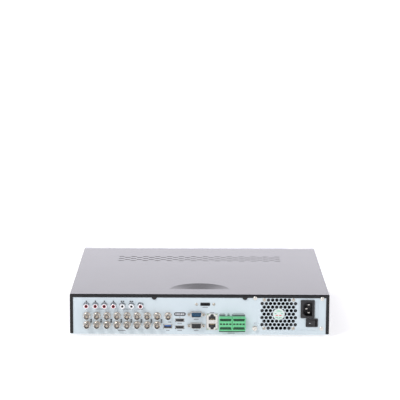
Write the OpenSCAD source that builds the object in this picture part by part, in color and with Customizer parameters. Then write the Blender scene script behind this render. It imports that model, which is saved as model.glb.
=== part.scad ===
// Sixteen-channel video recorder in a 1.5U steel case.
// Origin: on the table under the middle of the recorder. +Z is up, the front bezel
// faces -Y, the connector panel faces +Y. Sizes are in millimetres.
// Heights called v are measured from the underside of the case, above the feet.

/* [Case] */
// Width across the cover's two sides
body_w = 445; // [440:1:540]
// Depth from the bezel's face to the cover's rear rim
body_d = 390; // [325:1:480]
// Height of the case without its feet
body_h = 70.5; // [70:0.5:90]
// Thickness of the cover's painted steel
sheet_t = 1.0; // [0.8:0.1:1.5]
// Thickness of the base tray's steel
base_t = 1.0; // [0.8:0.1:1.5]
// Thickness of the connector panel
panel_t = 1.2; // [1:0.1:2]
// Width of the cover's rim round the connector panel
rim_w = 5.7; // [5:0.1:8]
// Outer radius of the cover's bends
bend_r = 1.6; // [1.5:0.1:2.5]
// Height of the base tray's side flanges
flange_h = 20; // [14:1:30]
// Height of a rubber foot
foot_h = 5; // [4:0.5:12]
// Radius of a rubber foot
foot_r = 9; // [7:0.5:14]
// Distance of the feet from the case's edges
foot_inset = 45; // [35:1:70]

/* [Vents] */
// Columns of cover slots with three slots each
vent_columns = 14; // [6:1:16]
// Distance between those columns
vent_pitch = 22.5; // [18:0.5:24]
// Distance between rows of cover slots
vent_row = 9; // [7:0.5:12]
// Length of a cover slot
slot_l = 10.6; // [8:0.1:11]
// Width of a cover slot
slot_w = 3.4; // [2:0.1:3.5]
// Distance of the last slot row from the rear rim
vent_from_rear = 268; // [200:1:300]

/* [Thumb recess] */
// Radius of the recess's curved side
recess_r = 53; // [40:1:60]
// Distance of its flat side from the rear rim
recess_from_rear = 39; // [30:1:60]
// Distance from the flat side to the crown of the curve
recess_depth_y = 45; // [30:1:50]
// Depth of the recess at the middle of its flat side
recess_sink = 4; // [2:0.5:6]

/* [Camera inputs] */
// Camera sockets in each of the two rows
bnc_columns = 8; // [4:1:8]
// Distance between the columns of camera sockets
bnc_pitch = 17.24; // [15:0.01:18]
// Distance of the first column from the case's left edge, seen from behind
bnc_from_left = 29.3; // [25:0.1:40]
// Height of the lower row
bnc_low_v = 16.6; // [16:0.1:20]
// Height of the upper row
bnc_high_v = 32.6; // [31:0.1:36]
// Radius of a socket's barrel
bnc_r = 4.8; // [4.5:0.05:5]
// Radius of the collar at a socket's foot
bnc_collar_r = 6.3; // [5.5:0.1:6.5]
// How far a socket stands out of the panel
bnc_reach = 12.5; // [10:0.1:15]
// Distance of the spare video output from the case's left edge
spare_from_left = 168.7; // [165:0.1:175]

/* [Audio sockets] */
// Number of audio sockets
rca_count = 7; // [4:1:7]
// Distance between audio sockets
rca_pitch = 15.45; // [12:0.05:16]
// Distance of the first audio socket from the case's left edge
rca_from_left = 28.6; // [25:0.1:40]
// Height of the audio sockets
rca_v = 50.5; // [50:0.1:52]
// Outer radius of an audio socket's metal ring
rca_r = 4.4; // [4:0.1:4.8]
// How far an audio socket stands out of the panel
rca_reach = 8.5; // [6:0.1:10]

/* [Fan] */
// Width and height of the fan
fan_w = 60; // [50:1:60]
// Distance of the fan's screws from its edges
fan_screw_inset = 5; // [4:0.5:6]
// Thickness of the fan
fan_t = 20; // [15:1:25]
// Distance of the fan's axle from the case's right edge, seen from behind
fan_from_right = 86.7; // [85:0.1:120]
// Height of the fan's axle
fan_v = 36.2; // [36:0.1:38]
// Radius of a grille hole
grille_hole_r = 3; // [2:0.1:3.2]
// Radius of the fan's axle
axle_r = 1.5; // [1.2:0.1:2]
// Running clearance round the axle
axle_clearance = 0.04; // [0.01:0.01:0.1]

/* [Power inlet and switch] */
// Width of the inlet's flange
inlet_w = 24; // [22:0.5:26]
// Height of the inlet's flange
inlet_h = 31.6; // [30:0.1:34]
// Distance of the inlet from the case's right edge
inlet_from_right = 37.3; // [34:0.1:50]
// Height of the inlet's middle
inlet_v = 45.6; // [45:0.1:48]
// Width of the switch's frame
switch_w = 20.8; // [19:0.1:24]
// Height of the switch's frame
switch_h = 14.8; // [13:0.1:15]
// Distance of the switch from the case's right edge
switch_from_right = 29.8; // [26:0.1:40]
// Height of the switch's middle
switch_v = 21.5; // [20:0.1:22]
// Angle between the switch's two positions
rocker_swing = 14; // [8:1:20]

/* [Front] */
// Depth of the bezel
bezel_d = 12; // [10:0.5:16]
// Wall of the bezel
bezel_wall = 2.2; // [1.8:0.1:3]
// How far the keys stand out of the fascia
key_reach = 1.2; // [0.8:0.1:2]
// How far a key moves when pressed
key_travel = 0.5; // [0.3:0.1:0.8]
// Gap round a key
key_gap = 0.3; // [0.2:0.05:0.5]

/* [Inside] */
// Depth of the main board
board_d = 130; // [110:1:135]
// Width of the main board
board_w = 297; // [295:1:310]
// Thickness of a circuit board
board_t = 1.6; // [1.2:0.1:2]
// Clear height under the main board
board_lift = 5.4; // [4:0.1:6]
// Width of a hard drive
drive_w = 101.6; // [100:0.1:102]
// Length of a hard drive
drive_l = 147; // [140:1:147]
// Height of a hard drive
drive_h = 26.1; // [20:0.1:26.5]

/* [Hidden] */
$fn = 48;
lap = 0.1;        // gap between two laid-together sheets
fit = 0.3;        // gap round a socket in its cut-out
eps = 0.01;       // overshoot of a cut past a face

socket_reach = bnc_reach - sheet_t - lap;
front_y = -(body_d + socket_reach + key_reach) / 2 + key_reach;
rear_y = front_y + body_d;
panel_y = rear_y - sheet_t - lap;         // outer face of the connector panel
panel_in_y = panel_y - panel_t;           // its inner face
base_y = front_y + bezel_d;               // front face of the base tray
base_w = body_w - 2 * (sheet_t + lap);
panel_h = body_h - sheet_t - lap;
floor_v = base_t;                         // top of the tray's floor
board_v = floor_v + board_lift;           // underside of the boards
deck_v = board_v + board_t;               // top of the boards
rear_flange_h = board_v - 1.4;            // the tray's rear flange stays clear of the boards
board_left = 15;                          // main board from the case's left edge
side_screws = [60, body_d / 2, body_d - 60];   // cover screws, from the bezel's face
ear_holes = [25, 45];                     // rack ear holes, from the bezel's face
ear_v = 10;                               // height of the rack ear holes
ear_r = 1.9;                              // radius of those holes
tab_from_middle = 77.7;                   // the cover's rear tabs from the middle
tab_r = 4.6;
tab_drop = 3.7;                           // how far a tab hangs below the rim
panel_screw_r = 3.3;                      // head of a panel screw
ground_v = 11;

// Middles of the connectors: distance from the case's left edge, and height
usb_at = [168, 13.8];
hdmi_at = [[188.5, 24.9], [188.5, 12.5]];
serial_at = [217, 35.6];
vga_at = [217, 15.9];
esata_at = [232.1, 53.1];
network_at = [244.1, deck_v + 14.35];
terminals_at = [278.6, 20.4];
usb_size = [14.4, 7.4];
hdmi_size = [15.2, 5.8];
dsub_size = [19.2, 9.4];
dsub_screws = 25;                         // between the two jackscrews
esata_size = [16.2, 5.2];
esata_screws = 29.6;
network_size = [19.4, 28.7];      // it stands on the main board
terminals_size = [45.3, 24.2];
terminals_reach = 9;

// Panel screws, seen from behind: two at the top, one at the bottom right
panel_screw_at = [[right_u(127.3), 64], [right_u(12.4), 63.4], [right_u(13), 11]];
ground_at = [right_u(127.6), ground_v];

// Keys: middle from the left edge seen from the front, height, width, height of cap
power_key = [body_w - 42, 36, 18, 18];
nav_at = [body_w - 110, 36];
nav_step = 15;
key_up_at = [nav_at[0], nav_at[1] + nav_step];
key_down_at = [nav_at[0], nav_at[1] - nav_step];
key_left_at = [nav_at[0] - nav_step, nav_at[1]];
key_right_at = [nav_at[0] + nav_step, nav_at[1]];
key_enter_at = nav_at;
key_r = 5.6;
port_at = [[body_w - 178, 22], [body_w - 154, 22]];     // front ports
window_at = [70, 36];
window_size = [84, 16];
lights_at = [for (i = [0:4]) [140 + 9 * i, 36]];
light_r = 1.5;
fascia_t = 2;
fascia_margin = 5;
front_board_w = 190;
front_board_h = 50;
front_board_gap = 3;                      // between the base tray and the front board
front_board_x = nav_at[0] - 10;           // its middle, from the left edge
front_lead_x = front_board_x - front_board_w / 2 + 18;   // where its lead leaves it

fan_x = right_x(fan_from_right);
fan_screw_pitch = fan_w - 2 * fan_screw_inset;
grille_pitch = (fan_w - 2.9) / 8;         // nine holes across the fan
inlet_x = right_x(inlet_from_right);
switch_x = right_x(switch_from_right);
inlet_body = [20, 27];                    // behind the panel
inlet_back = 18;
switch_body = [19, 12.6];
switch_back = 16;
supply_w = 104;
supply_l = 150;
supply_from_panel = 34;
drive_from_front = 28;                    // behind the base tray's front wall
drive_pitch = drive_w + 12;
drive_from_left = 20;
tray_v = 7;                               // underside of the drive tray
tray_t = 1.2;

// ---- places ---------------------------------------------------------------

// X of a point measured from the case's left or right edge, seen from behind
function left_x(u) = body_w / 2 - u;
function right_x(u) = -body_w / 2 + u;
// Distance from the left edge of a point measured from the right edge
function right_u(u) = body_w - u;

// Draw on the connector panel: X to the right seen from behind, Y up, Z outwards
module on_panel(at, out = 0)
    translate([left_x(at[0]), panel_y, foot_h + at[1]])
        rotate([90, 0, 180]) translate([0, 0, out]) children();

// Draw on the fascia: X to the right seen from the front, Y up, Z outwards
module on_front(at, out = 0)
    translate([at[0] - body_w / 2, front_y, foot_h + at[1]])
        rotate([90, 0, 0]) translate([0, 0, out]) children();

// A block between two corners whose heights are measured from the case's underside
module block(low, high)
    translate([low[0], low[1], foot_h + low[2]])
        cube([high[0] - low[0], high[1] - low[1], high[2] - low[2]]);

function unit(v) = v / norm(v);
function tangent(p, i) = unit(p[min(i + 1, len(p) - 1)] - p[max(i - 1, 0)]);
// Cut the corners of a path, keeping its two ends
function eased(p) = [p[0], for (i = [0:len(p) - 2]) each [
    if (i > 0) 0.75 * p[i] + 0.25 * p[i + 1],
    if (i < len(p) - 2) 0.25 * p[i] + 0.75 * p[i + 1]], p[len(p) - 1]];

// A lead of round section swept through a list of points
module wire(points, r) {
    sides = 8;
    path = eased(eased(points));
    n = len(path);
    polyhedron(
        points = [for (i = [0:n - 1]) let (t = tangent(path, i), u = unit(cross(t, [1, 0.3, 0.2])),
            w = cross(t, u)) for (k = [0:sides - 1])
            path[i] + r * (cos(k * 360 / sides) * u + sin(k * 360 / sides) * w)],
        faces = concat([[for (k = [0:sides - 1]) k]],
            [for (i = [0:n - 2], k = [0:sides - 1]) let (next = (k + 1) % sides)
                [i * sides + k, (i + 1) * sides + k, (i + 1) * sides + next, i * sides + next]],
            [[for (k = [sides - 1:-1:0]) (n - 1) * sides + k]]));
}

// ---- outlines -------------------------------------------------------------

module rounded(w, h, r) {
    square([w - 2 * r, h], center = true);
    square([w, h - 2 * r], center = true);
    for (x = [-1, 1], y = [-1, 1]) translate([x * (w / 2 - r), y * (h / 2 - r)]) circle(r);
}

// Outline of a D-shaped connector, wide side up
module d_outline(w, h, lean = 1.2)
    polygon([[-w / 2, h / 2], [w / 2, h / 2], [w / 2 - lean, -h / 2], [-w / 2 + lean, -h / 2]]);

// Outline of a display connector: full width on top, corners cut away below
module hdmi_outline(w, h)
    polygon([[-w / 2, h / 2], [w / 2, h / 2], [w / 2, -h / 8], [w / 2 - 1.8, -h / 2],
        [-w / 2 + 1.8, -h / 2], [-w / 2, -h / 8]]);

module slot(l, w, r) {
    square([l - 2 * r, w], center = true);
    for (x = [-1, 1]) translate([x * (l / 2 - r), 0]) circle(r);
}

// ---- case -----------------------------------------------------------------

module chassis_base() color("silver") {
    difference() {
        union() {
            block([-base_w / 2, base_y, 0], [base_w / 2, panel_in_y - lap, base_t]);
            for (x = [-base_w / 2, base_w / 2 - base_t])
                block([x, base_y, 0], [x + base_t, panel_in_y - lap, flange_h]);
            block([-base_w / 2, base_y, 0], [base_w / 2, base_y + base_t, panel_h]);
            block([-base_w / 2, panel_in_y - lap - base_t, 0],
                [base_w / 2, panel_in_y - lap, rear_flange_h]);
        }
        // clearance for the front board's connectors, the ports and the ribbon
        for (at = port_at) on_front(at, -bezel_d - base_t - eps)
            linear_extrude(base_t + 2 * eps) square([16, 9], center = true);
        on_front([front_lead_x, 30], -bezel_d - base_t - eps)
            linear_extrude(base_t + 2 * eps) square([24, 6], center = true);
        // air slots in the front wall
        for (i = [0:11]) on_front([60 + 14 * i, 56], -bezel_d - base_t - eps)
            linear_extrude(base_t + 2 * eps) slot(10, 4, 2);
        side_holes(ear_r);
    }
}

// Holes for the cover's side screws and for rack ears, through both sides
module side_holes(r) {
    for (y = side_screws) translate([0, front_y + y, foot_h + flange_h / 2])
        rotate([0, 90, 0]) cylinder(r = 1.3, h = body_w + 2, center = true);
    for (y = ear_holes) translate([0, front_y + y, foot_h + ear_v])
        rotate([0, 90, 0]) cylinder(r = r, h = body_w + 2, center = true);
}

module rear_panel() color([0.84, 0.89, 0.92]) difference() {
    block([-base_w / 2, panel_in_y, 0], [base_w / 2, panel_y, panel_h]);
    panel_holes();
}

module panel_cut(at)
    on_panel(at, -panel_t - eps) linear_extrude(panel_t + 2 * eps) children();

module panel_holes() {
    for (i = [0:bnc_columns - 1], v = [bnc_low_v, bnc_high_v])
        panel_cut([bnc_from_left + i * bnc_pitch, v]) circle(bnc_r + fit);
    panel_cut([spare_from_left, bnc_high_v]) circle(bnc_r + fit);
    for (i = [0:rca_count - 1]) panel_cut([rca_from_left + i * rca_pitch, rca_v]) circle(rca_r + fit);
    panel_cut(usb_at) square(usb_size + [2 * fit, 2 * fit], center = true);
    for (at = hdmi_at) panel_cut(at) square(hdmi_size + [2 * fit, 2 * fit], center = true);
    for (at = [serial_at, vga_at]) {
        panel_cut(at) square(dsub_size + [2 * fit, 2 * fit], center = true);
        for (x = [-1, 1]) panel_cut(at + [x * dsub_screws / 2, 0]) circle(1.8);
    }
    panel_cut(esata_at) rounded(esata_size[0] + 2 * fit, esata_size[1] + 2 * fit, 1.5);
    for (x = [-1, 1]) panel_cut(esata_at + [x * esata_screws / 2, 0]) circle(1.3);
    panel_cut(network_at) square(network_size + [2 * fit, 2 * fit], center = true);
    panel_cut(terminals_at) square(terminals_size - [2, 4], center = true);
    panel_cut([right_u(fan_from_right), fan_v]) grille();
    for (x = [-1, 1], y = [-1, 1])
        panel_cut([right_u(fan_from_right), fan_v] + fan_screw_pitch / 2 * [x, y]) circle(1.9);
    panel_cut([right_u(inlet_from_right), inlet_v])
        square(inlet_body + [2 * fit, 2 * fit], center = true);
    panel_cut([right_u(switch_from_right), switch_v])
        square(switch_body + [2 * fit, 2 * fit], center = true);
    for (at = panel_screw_at) panel_cut(at) circle(1.6);
    panel_cut(ground_at) circle(2.1);
    for (x = [-1, 1]) panel_cut([body_w / 2 + x * tab_from_middle, tab_v()]) circle(1.3);
}

// Height of the screws in the cover's rear tabs
function tab_v() = body_h - rim_w - 0.4;

// Nine staggered rows of round holes, the corners left solid for the fan's screws
module grille() {
    row_step = grille_pitch * sqrt(3) / 2;
    counts = [6, 9, 8, 9, 8, 9, 8, 9, 6];
    for (row = [0:8], i = [0:counts[row] - 1])
        translate([(i - (counts[row] - 1) / 2) * grille_pitch, (row - 4) * row_step])
            circle(grille_hole_r, $fn = 24);
}

// The cover's section: a channel with rounded bends, open below
module cover_section(side_v) {
    w = body_w / 2;
    difference() {
        union() {
            translate([-w, side_v]) square([body_w, body_h - bend_r - side_v]);
            translate([-w + bend_r, body_h - bend_r]) square([body_w - 2 * bend_r, bend_r]);
            for (x = [-1, 1]) translate([x * (w - bend_r), body_h - bend_r]) circle(bend_r);
        }
        translate([-w + sheet_t, side_v - 1])
            square([body_w - 2 * sheet_t, body_h - sheet_t - side_v + 1]);
    }
}

module top_cover() color([0.25, 0.25, 0.27]) {
    side_v = 1.3;
    difference() {
        union() {
            translate([0, rear_y, foot_h]) rotate([90, 0, 0])
                linear_extrude(body_d - bezel_d) cover_section(side_v);
            translate([0, rear_y, foot_h]) rotate([90, 0, 0])
                linear_extrude(sheet_t) rear_rim(side_v);
            // underside of the pressed thumb recess
            recess_dish(sheet_t, sheet_t);
        }
        recess_dish(0, 0);
        cover_vents();
        side_holes(ear_r);
        side_vents();
        for (x = [-1, 1]) on_panel([body_w / 2 + x * tab_from_middle, tab_v()], -eps)
            cylinder(r = 1.3, h = 3);
        for (at = panel_screw_at) on_panel(at, -eps) cylinder(r = panel_screw_r + fit, h = 3);
    }
}

// The rim and its two screw tabs, folded in at the cover's rear edge
module rear_rim(side_v) {
    w = body_w / 2;
    difference() {
        union() {
            translate([-w, side_v]) square([body_w, body_h - bend_r - side_v]);
            translate([-w + bend_r, body_h - bend_r]) square([body_w - 2 * bend_r, bend_r]);
            for (x = [-1, 1]) translate([x * (w - bend_r), body_h - bend_r]) circle(bend_r);
        }
        translate([-w + rim_w, -1]) square([body_w - 2 * rim_w, body_h - rim_w + 1]);
    }
    for (x = [-1, 1]) translate([x * tab_from_middle, body_h - rim_w]) intersection() {
        translate([0, tab_r - tab_drop]) circle(tab_r);
        translate([-tab_r, -tab_drop]) square([2 * tab_r, tab_drop + eps]);
    }
}

// A shallow cone with its rear side sliced off, deepest at the middle of the slice
module recess_dish(drop, wall) {
    slope = recess_sink / recess_depth_y;
    flat_y = rear_y - recess_from_rear;
    low_r = max(recess_r - recess_depth_y, 2) / 2;   // the tip is blunt
    top = foot_h + body_h - drop;
    intersection() {
        translate([0, flat_y - recess_depth_y + recess_r, top - slope * (recess_r - low_r)]) union() {
            cylinder(r1 = low_r, r2 = recess_r, h = slope * (recess_r - low_r));
            translate([0, 0, slope * (recess_r - low_r) - eps])
                cylinder(r = recess_r, h = drop > 0 ? drop / 2 : 1);
        }
        translate([-recess_r, flat_y - 2 * recess_r + wall, top - recess_r])
            cube([2 * recess_r, 2 * recess_r, 2 * recess_r]);
    }
}

// Five staggered rows of slots across the cover's top
module cover_vents() {
    for (row = [0:4]) {
        count = vent_columns - (row % 2);
        for (i = [0:count - 1])
            translate([(i - (count - 1) / 2) * vent_pitch, rear_y - vent_from_rear - row * vent_row,
                foot_h + body_h - sheet_t - eps])
                linear_extrude(sheet_t + 2 * eps) slot(slot_l, slot_w, slot_w / 2);
    }
}

// Vertical slots in both sides near the front
module side_vents()
    for (i = [0:11]) translate([0, front_y + 95 + 9 * i, foot_h + body_h / 2 + 8])
        rotate([0, 90, 0]) cube([24, 3, body_w + 2], center = true);

// Black screws: three in each side and one in each rear tab
module cover_screws() color([0.1, 0.1, 0.1]) {
    for (y = side_screws, s = [-1, 1])
        translate([s * body_w / 2, front_y + y, foot_h + flange_h / 2]) rotate([0, -s * 90, 0])
            rotate_extrude() polygon([[0, 0.1], [1.25, 0.1], [1.25, 3.4], [0, 3.4]]);
    for (x = [-1, 1]) on_panel([body_w / 2 + x * tab_from_middle, tab_v()], 0) {
        translate([0, 0, -panel_t - 1.5]) cylinder(r = 1.25, h = panel_t + 1.5 + sheet_t + lap + eps);
        translate([0, 0, sheet_t + lap]) difference() {
            cylinder(r = 3, h = 1.4);
            cross_recess(1.4);
        }
    }
}

// Cross-shaped driver recess, cut down from the top of a head of height h
module cross_recess(h, size = 3) for (a = [0, 90]) rotate(a)
    translate([-size / 2, -0.35, h - 0.8]) cube([size, 0.7, 1]);

// ---- front ----------------------------------------------------------------

module front_bezel() color([0.75, 0.76, 0.78]) {
    corner = 3;
    difference() {
        on_front([body_w / 2, body_h / 2], -bezel_d + lap) difference() {
            linear_extrude(bezel_d - lap) rounded(body_w, body_h, corner);
            translate([0, 0, -eps]) linear_extrude(bezel_d - lap - bezel_wall - fascia_t)
                rounded(body_w - 2 * bezel_wall, body_h - 2 * bezel_wall, corner - 1);
            translate([0, 0, bezel_d - lap - fascia_t])
                linear_extrude(fascia_t + 1)
                    rounded(body_w - 2 * fascia_margin, body_h - 2 * fascia_margin, 2);
        }
        front_holes(bezel_d);
    }
}

module front_fascia() color([0.05, 0.05, 0.06]) difference() {
    on_front([body_w / 2, body_h / 2], -fascia_t + lap) linear_extrude(fascia_t - lap)
        rounded(body_w - 2 * fascia_margin - 2 * lap, body_h - 2 * fascia_margin - 2 * lap, 2 - lap);
    front_holes(bezel_d);
}

// Holes for the keys, ports, lights and display window through the bezel and fascia
module front_holes(depth) {
    on_front([power_key[0], power_key[1]], -depth) linear_extrude(depth + 1)
        rounded(power_key[2] + 2 * key_gap, power_key[3] + 2 * key_gap, 3 + key_gap);
    for (at = [key_up_at, key_down_at, key_left_at, key_right_at, key_enter_at])
        on_front(at, -depth) cylinder(r = key_r + key_gap, h = depth + 1);
    for (at = port_at) on_front(at, -depth) linear_extrude(depth + 1)
        square([13.4 + 2 * fit, 6 + 2 * fit], center = true);
    for (at = lights_at) on_front(at, -depth) cylinder(r = light_r + 0.05, h = depth + 1);
    on_front(window_at, -depth) linear_extrude(depth + 1) rounded(window_size[0], window_size[1], 2);
}

module display_window() color([0.12, 0.02, 0.03])
    on_front(window_at, -fascia_t) linear_extrude(fascia_t - 0.2)
        rounded(window_size[0] - 2 * lap, window_size[1] - 2 * lap, 2 - lap);

module status_lights() color("lightgreen") for (at = lights_at)
    on_front(at, -front_light_depth()) cylinder(r = light_r, h = front_light_depth() + 0.1);

// From the fascia to the front board
function front_light_depth() = bezel_d - front_board_gap - board_t - lap;

// A key's stem reaches back to the front board's switch, and its lip holds it behind the wall
module key_stem(reach_r) {
    back = bezel_wall + fascia_t;
    translate([0, 0, -back - 0.2 - 1]) children();
    translate([0, 0, -front_light_depth() + 0.9 + key_travel])
        cylinder(r = reach_r, h = front_light_depth() - 0.9 - key_travel - back - 0.2);
}

module power_button() color("silver") on_front([power_key[0], power_key[1]]) {
    difference() {
        translate([0, 0, -bezel_wall - fascia_t - 0.3])
            linear_extrude(bezel_wall + fascia_t + 0.3 + key_reach)
                rounded(power_key[2], power_key[3], 3);
        // ring groove pressed into the cap
        translate([0, 0, key_reach - 0.4]) difference() {
            cylinder(r = 5, h = 1);
            translate([0, 0, -1]) cylinder(r = 4.2, h = 3);
        }
    }
    key_stem(3) linear_extrude(1) rounded(power_key[2] + 2, power_key[3] + 2, 3);
}

module round_key(at) color([0.6, 0.6, 0.62]) on_front(at) {
    translate([0, 0, -bezel_wall - fascia_t - 0.3])
        cylinder(r = key_r, h = bezel_wall + fascia_t + 0.3 + key_reach);
    key_stem(2) cylinder(r = key_r + 1, h = 1);
}

module key_up() round_key(key_up_at);
module key_down() round_key(key_down_at);
module key_left() round_key(key_left_at);
module key_right() round_key(key_right_at);
module key_enter() round_key(key_enter_at);

module front_ports() color("silver") for (at = port_at) on_front(at, -bezel_d - 4) {
    difference() {
        linear_extrude(bezel_d + 4 - 0.4) square([13.4, 6], center = true);
        translate([0, 0, 1.5]) linear_extrude(bezel_d + 4) square([12.6, 5.2], center = true);
    }
    translate([0, 0.9, 0]) linear_extrude(bezel_d + 2.6) square([11, 1.8], center = true);
}

// Circuit board behind the bezel with its touch switches
module front_board() color([0.1, 0.35, 0.2]) {
    board_out = -bezel_d + front_board_gap;
    difference() {
        on_front([front_board_x, body_h / 2], board_out) linear_extrude(board_t)
            square([front_board_w, front_board_h], center = true);
        for (at = port_at) on_front(at, -bezel_d) linear_extrude(bezel_d)
            square([14.4, 7], center = true);
    }
    for (at = [[power_key[0], power_key[1]], key_up_at, key_down_at, key_left_at, key_right_at,
            key_enter_at])
        on_front(at, board_out + board_t) cylinder(r = 1.75, h = 0.8);
    // spacers to the base tray
    for (x = [-1, 1], y = [-1, 1])
        on_front([front_board_x + x * (front_board_w / 2 - 5), body_h / 2 + y * (front_board_h / 2 - 4)],
            -bezel_d + lap) cylinder(r = 3, h = front_board_gap - lap);
}

module feet() color([0.08, 0.08, 0.08])
    for (x = [-1, 1], y = [front_y + foot_inset, rear_y - foot_inset])
        translate([x * (body_w / 2 - foot_inset), y, 0]) rotate_extrude()
            polygon([[0, 1], [foot_r - 3, 1], [foot_r - 2.6, 0], [foot_r - 1, 0], [foot_r, foot_h],
                [0, foot_h]]);

// ---- rear connectors ------------------------------------------------------

function bnc_places() = concat(
    [for (i = [0:bnc_columns - 1], v = [bnc_low_v, bnc_high_v]) [bnc_from_left + i * bnc_pitch, v]],
    [[spare_from_left, bnc_high_v]]);
bnc_bore_r = bnc_r - 0.75;
bnc_floor = 3.5;                          // where the bore ends
bnc_rear = 8;                             // barrel behind the panel's outer face
bnc_core_r = 2.4;
bnc_pin_r = 0.7;

module bnc_shells() color([0.72, 0.68, 0.62]) for (at = bnc_places()) on_panel(at) {
    rotate_extrude() polygon([[bnc_core_r, -bnc_rear], [bnc_r, -bnc_rear], [bnc_r, lap],
        [bnc_collar_r, lap], [bnc_collar_r, 1.5], [bnc_r, 1.5], [bnc_r, bnc_reach - 0.4],
        [bnc_r - 0.3, bnc_reach], [bnc_bore_r, bnc_reach], [bnc_bore_r, bnc_floor],
        [bnc_core_r, bnc_floor]]);
    // bayonet lugs
    for (s = [-1, 1]) translate([s * (bnc_r - 0.2), 0, bnc_reach - 4]) rotate([0, s * 90, 0])
        cylinder(r = 1, h = 1.3, $fn = 24);
}

module bnc_insulators() color([0.93, 0.92, 0.88]) for (at = bnc_places())
    on_panel(at, -bnc_rear) difference() {
        cylinder(r = bnc_core_r - 0.02, h = bnc_rear + bnc_reach - 0.8);
        translate([0, 0, -1]) cylinder(r = bnc_pin_r + 0.02, h = bnc_rear + bnc_reach + 2, $fn = 24);
    }

module bnc_contacts() color([0.85, 0.7, 0.35]) for (at = bnc_places())
    on_panel(at, -bnc_rear) difference() {
        cylinder(r = bnc_pin_r, h = bnc_rear + bnc_reach - 1.2, $fn = 24);
        translate([0, 0, bnc_rear + bnc_reach - 5]) cylinder(r = 0.45, h = 6, $fn = 24);
    }

module bnc_blocks() color([0.12, 0.12, 0.12]) {
    half = bnc_pitch / 2 - 0.2;
    top_v = bnc_high_v + 8.2;
    back_y = panel_in_y - 12;
    difference() {
        block([left_x(bnc_from_left + (bnc_columns - 1) * bnc_pitch + half), back_y, deck_v],
            [left_x(bnc_from_left - half), panel_in_y - lap, top_v]);
        bnc_seats();
    }
    // the spare output stands over the port below it on a leg
    difference() {
        union() {
            block([left_x(spare_from_left + 7.5), back_y - 10, deck_v + 15.6],
                [left_x(spare_from_left - 7.5), panel_in_y - lap, top_v]);
            block([left_x(spare_from_left + 7.5), back_y - 10, deck_v],
                [left_x(spare_from_left - 7.5), back_y - 5, deck_v + 15.7]);
        }
        bnc_seats();
    }
}

module bnc_seats() for (at = bnc_places()) on_panel(at, -bnc_rear) cylinder(r = bnc_r + 0.02, h = 20);

// Audio sockets: red for left and talk inputs, white for outputs
rca_red = [0, 1, 2, 3, 6];
rca_white = [4, 5];
rca_wall = 0.7;
rca_back = 8;

module on_rca(i, out = 0) on_panel([rca_from_left + i * rca_pitch, rca_v], out) children();

module rca_shells() color([0.88, 0.88, 0.9]) for (i = [0:rca_count - 1]) on_rca(i, -rca_back)
    difference() {
        cylinder(r = rca_r, h = rca_back + rca_reach);
        translate([0, 0, -1]) cylinder(r = rca_r - rca_wall, h = rca_back + rca_reach + 2);
    }

module rca_insert() difference() {
    cylinder(r = rca_r - rca_wall - 0.02, h = rca_back + rca_reach - 0.6);
    translate([0, 0, 3]) cylinder(r = 1.65, h = 20);
}

module rca_red_inserts() color([0.75, 0.08, 0.12]) for (i = rca_red)
    if (i < rca_count) on_rca(i, -rca_back) rca_insert();

module rca_white_inserts() color([0.95, 0.95, 0.94]) for (i = rca_white)
    if (i < rca_count) on_rca(i, -rca_back) rca_insert();

module rca_block() color([0.1, 0.1, 0.1]) difference() {
    block([left_x(rca_from_left + (rca_count - 0.5) * rca_pitch), panel_in_y - 11, audio_v() + board_t],
        [left_x(rca_from_left - rca_pitch / 2), panel_in_y - lap, rca_v + 6.5]);
    for (i = [0:rca_count - 1]) on_rca(i, -rca_back) cylinder(r = rca_r + 0.02, h = 20);
}

// Underside of the audio board, which lies on the camera sockets' block
function audio_v() = bnc_high_v + 8.2;

module usb_shell() color("silver") on_panel(usb_at, -16) {
    difference() {
        linear_extrude(16.6) square(usb_size - [0.6, 1], center = true);
        translate([0, 0, 1]) linear_extrude(17) square(usb_size - [1.4, 1.8], center = true);
    }
    // flared lips at the mouth
    for (y = [-1, 1]) translate([0, y * (usb_size[1] / 2 - 0.25), 16.1]) linear_extrude(0.5)
        square([usb_size[0] - 1, 0.5], center = true);
    // feet that stand on the board
    for (x = [-1, 1]) translate([x * (usb_size[0] / 2 - 0.7), -usb_foot() / 2 - usb_size[1] / 2 + 0.5, 3])
        linear_extrude(9) square([0.8, usb_foot()], center = true);
}

function usb_foot() = usb_at[1] - usb_size[1] / 2 + 0.5 - deck_v;

module usb_tongue() color([0.15, 0.35, 0.75]) on_panel(usb_at + [0, 1.2], -15)
    linear_extrude(14.8) square([usb_size[0] - 3.4, 1.9], center = true);

module hdmi_shells() color([0.6, 0.6, 0.62]) for (at = hdmi_at) on_panel(at, -14) {
    difference() {
        linear_extrude(14.4) hdmi_outline(hdmi_size[0], hdmi_size[1]);
        translate([0, 0, 1]) linear_extrude(15)
            hdmi_outline(hdmi_size[0] - 1, hdmi_size[1] - 1);
    }
    translate([0, 0.3, 0.5]) linear_extrude(12) square([hdmi_size[0] - 4, 1.2], center = true);
}

module hdmi_block() color([0.1, 0.1, 0.1]) difference() {
    block([left_x(hdmi_at[0][0] + 9), panel_in_y - 18, deck_v],
        [left_x(hdmi_at[0][0] - 9), panel_in_y - lap, hdmi_at[0][1] + 4.5]);
    for (at = hdmi_at) on_panel(at, -14 - lap) linear_extrude(20)
        square(hdmi_size + [0.1, 0.1], center = true);
}

// Serial port above, monitor port below, in one stacked body
module dsub_block() color([0.12, 0.12, 0.12]) difference() {
    block([left_x(serial_at[0] + 15.6), panel_in_y - 14, deck_v],
        [left_x(serial_at[0] - 15.6), panel_in_y - lap, serial_at[1] + 6.3]);
    for (at = [serial_at, vga_at]) {
        on_panel(at, -9 - lap) linear_extrude(20) square(dsub_size + [0.1, 0.1], center = true);
        for (x = [-1, 1]) on_panel(at + [x * dsub_screws / 2, 0], -9) cylinder(r = 1.55, h = 20);
    }
}

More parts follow.
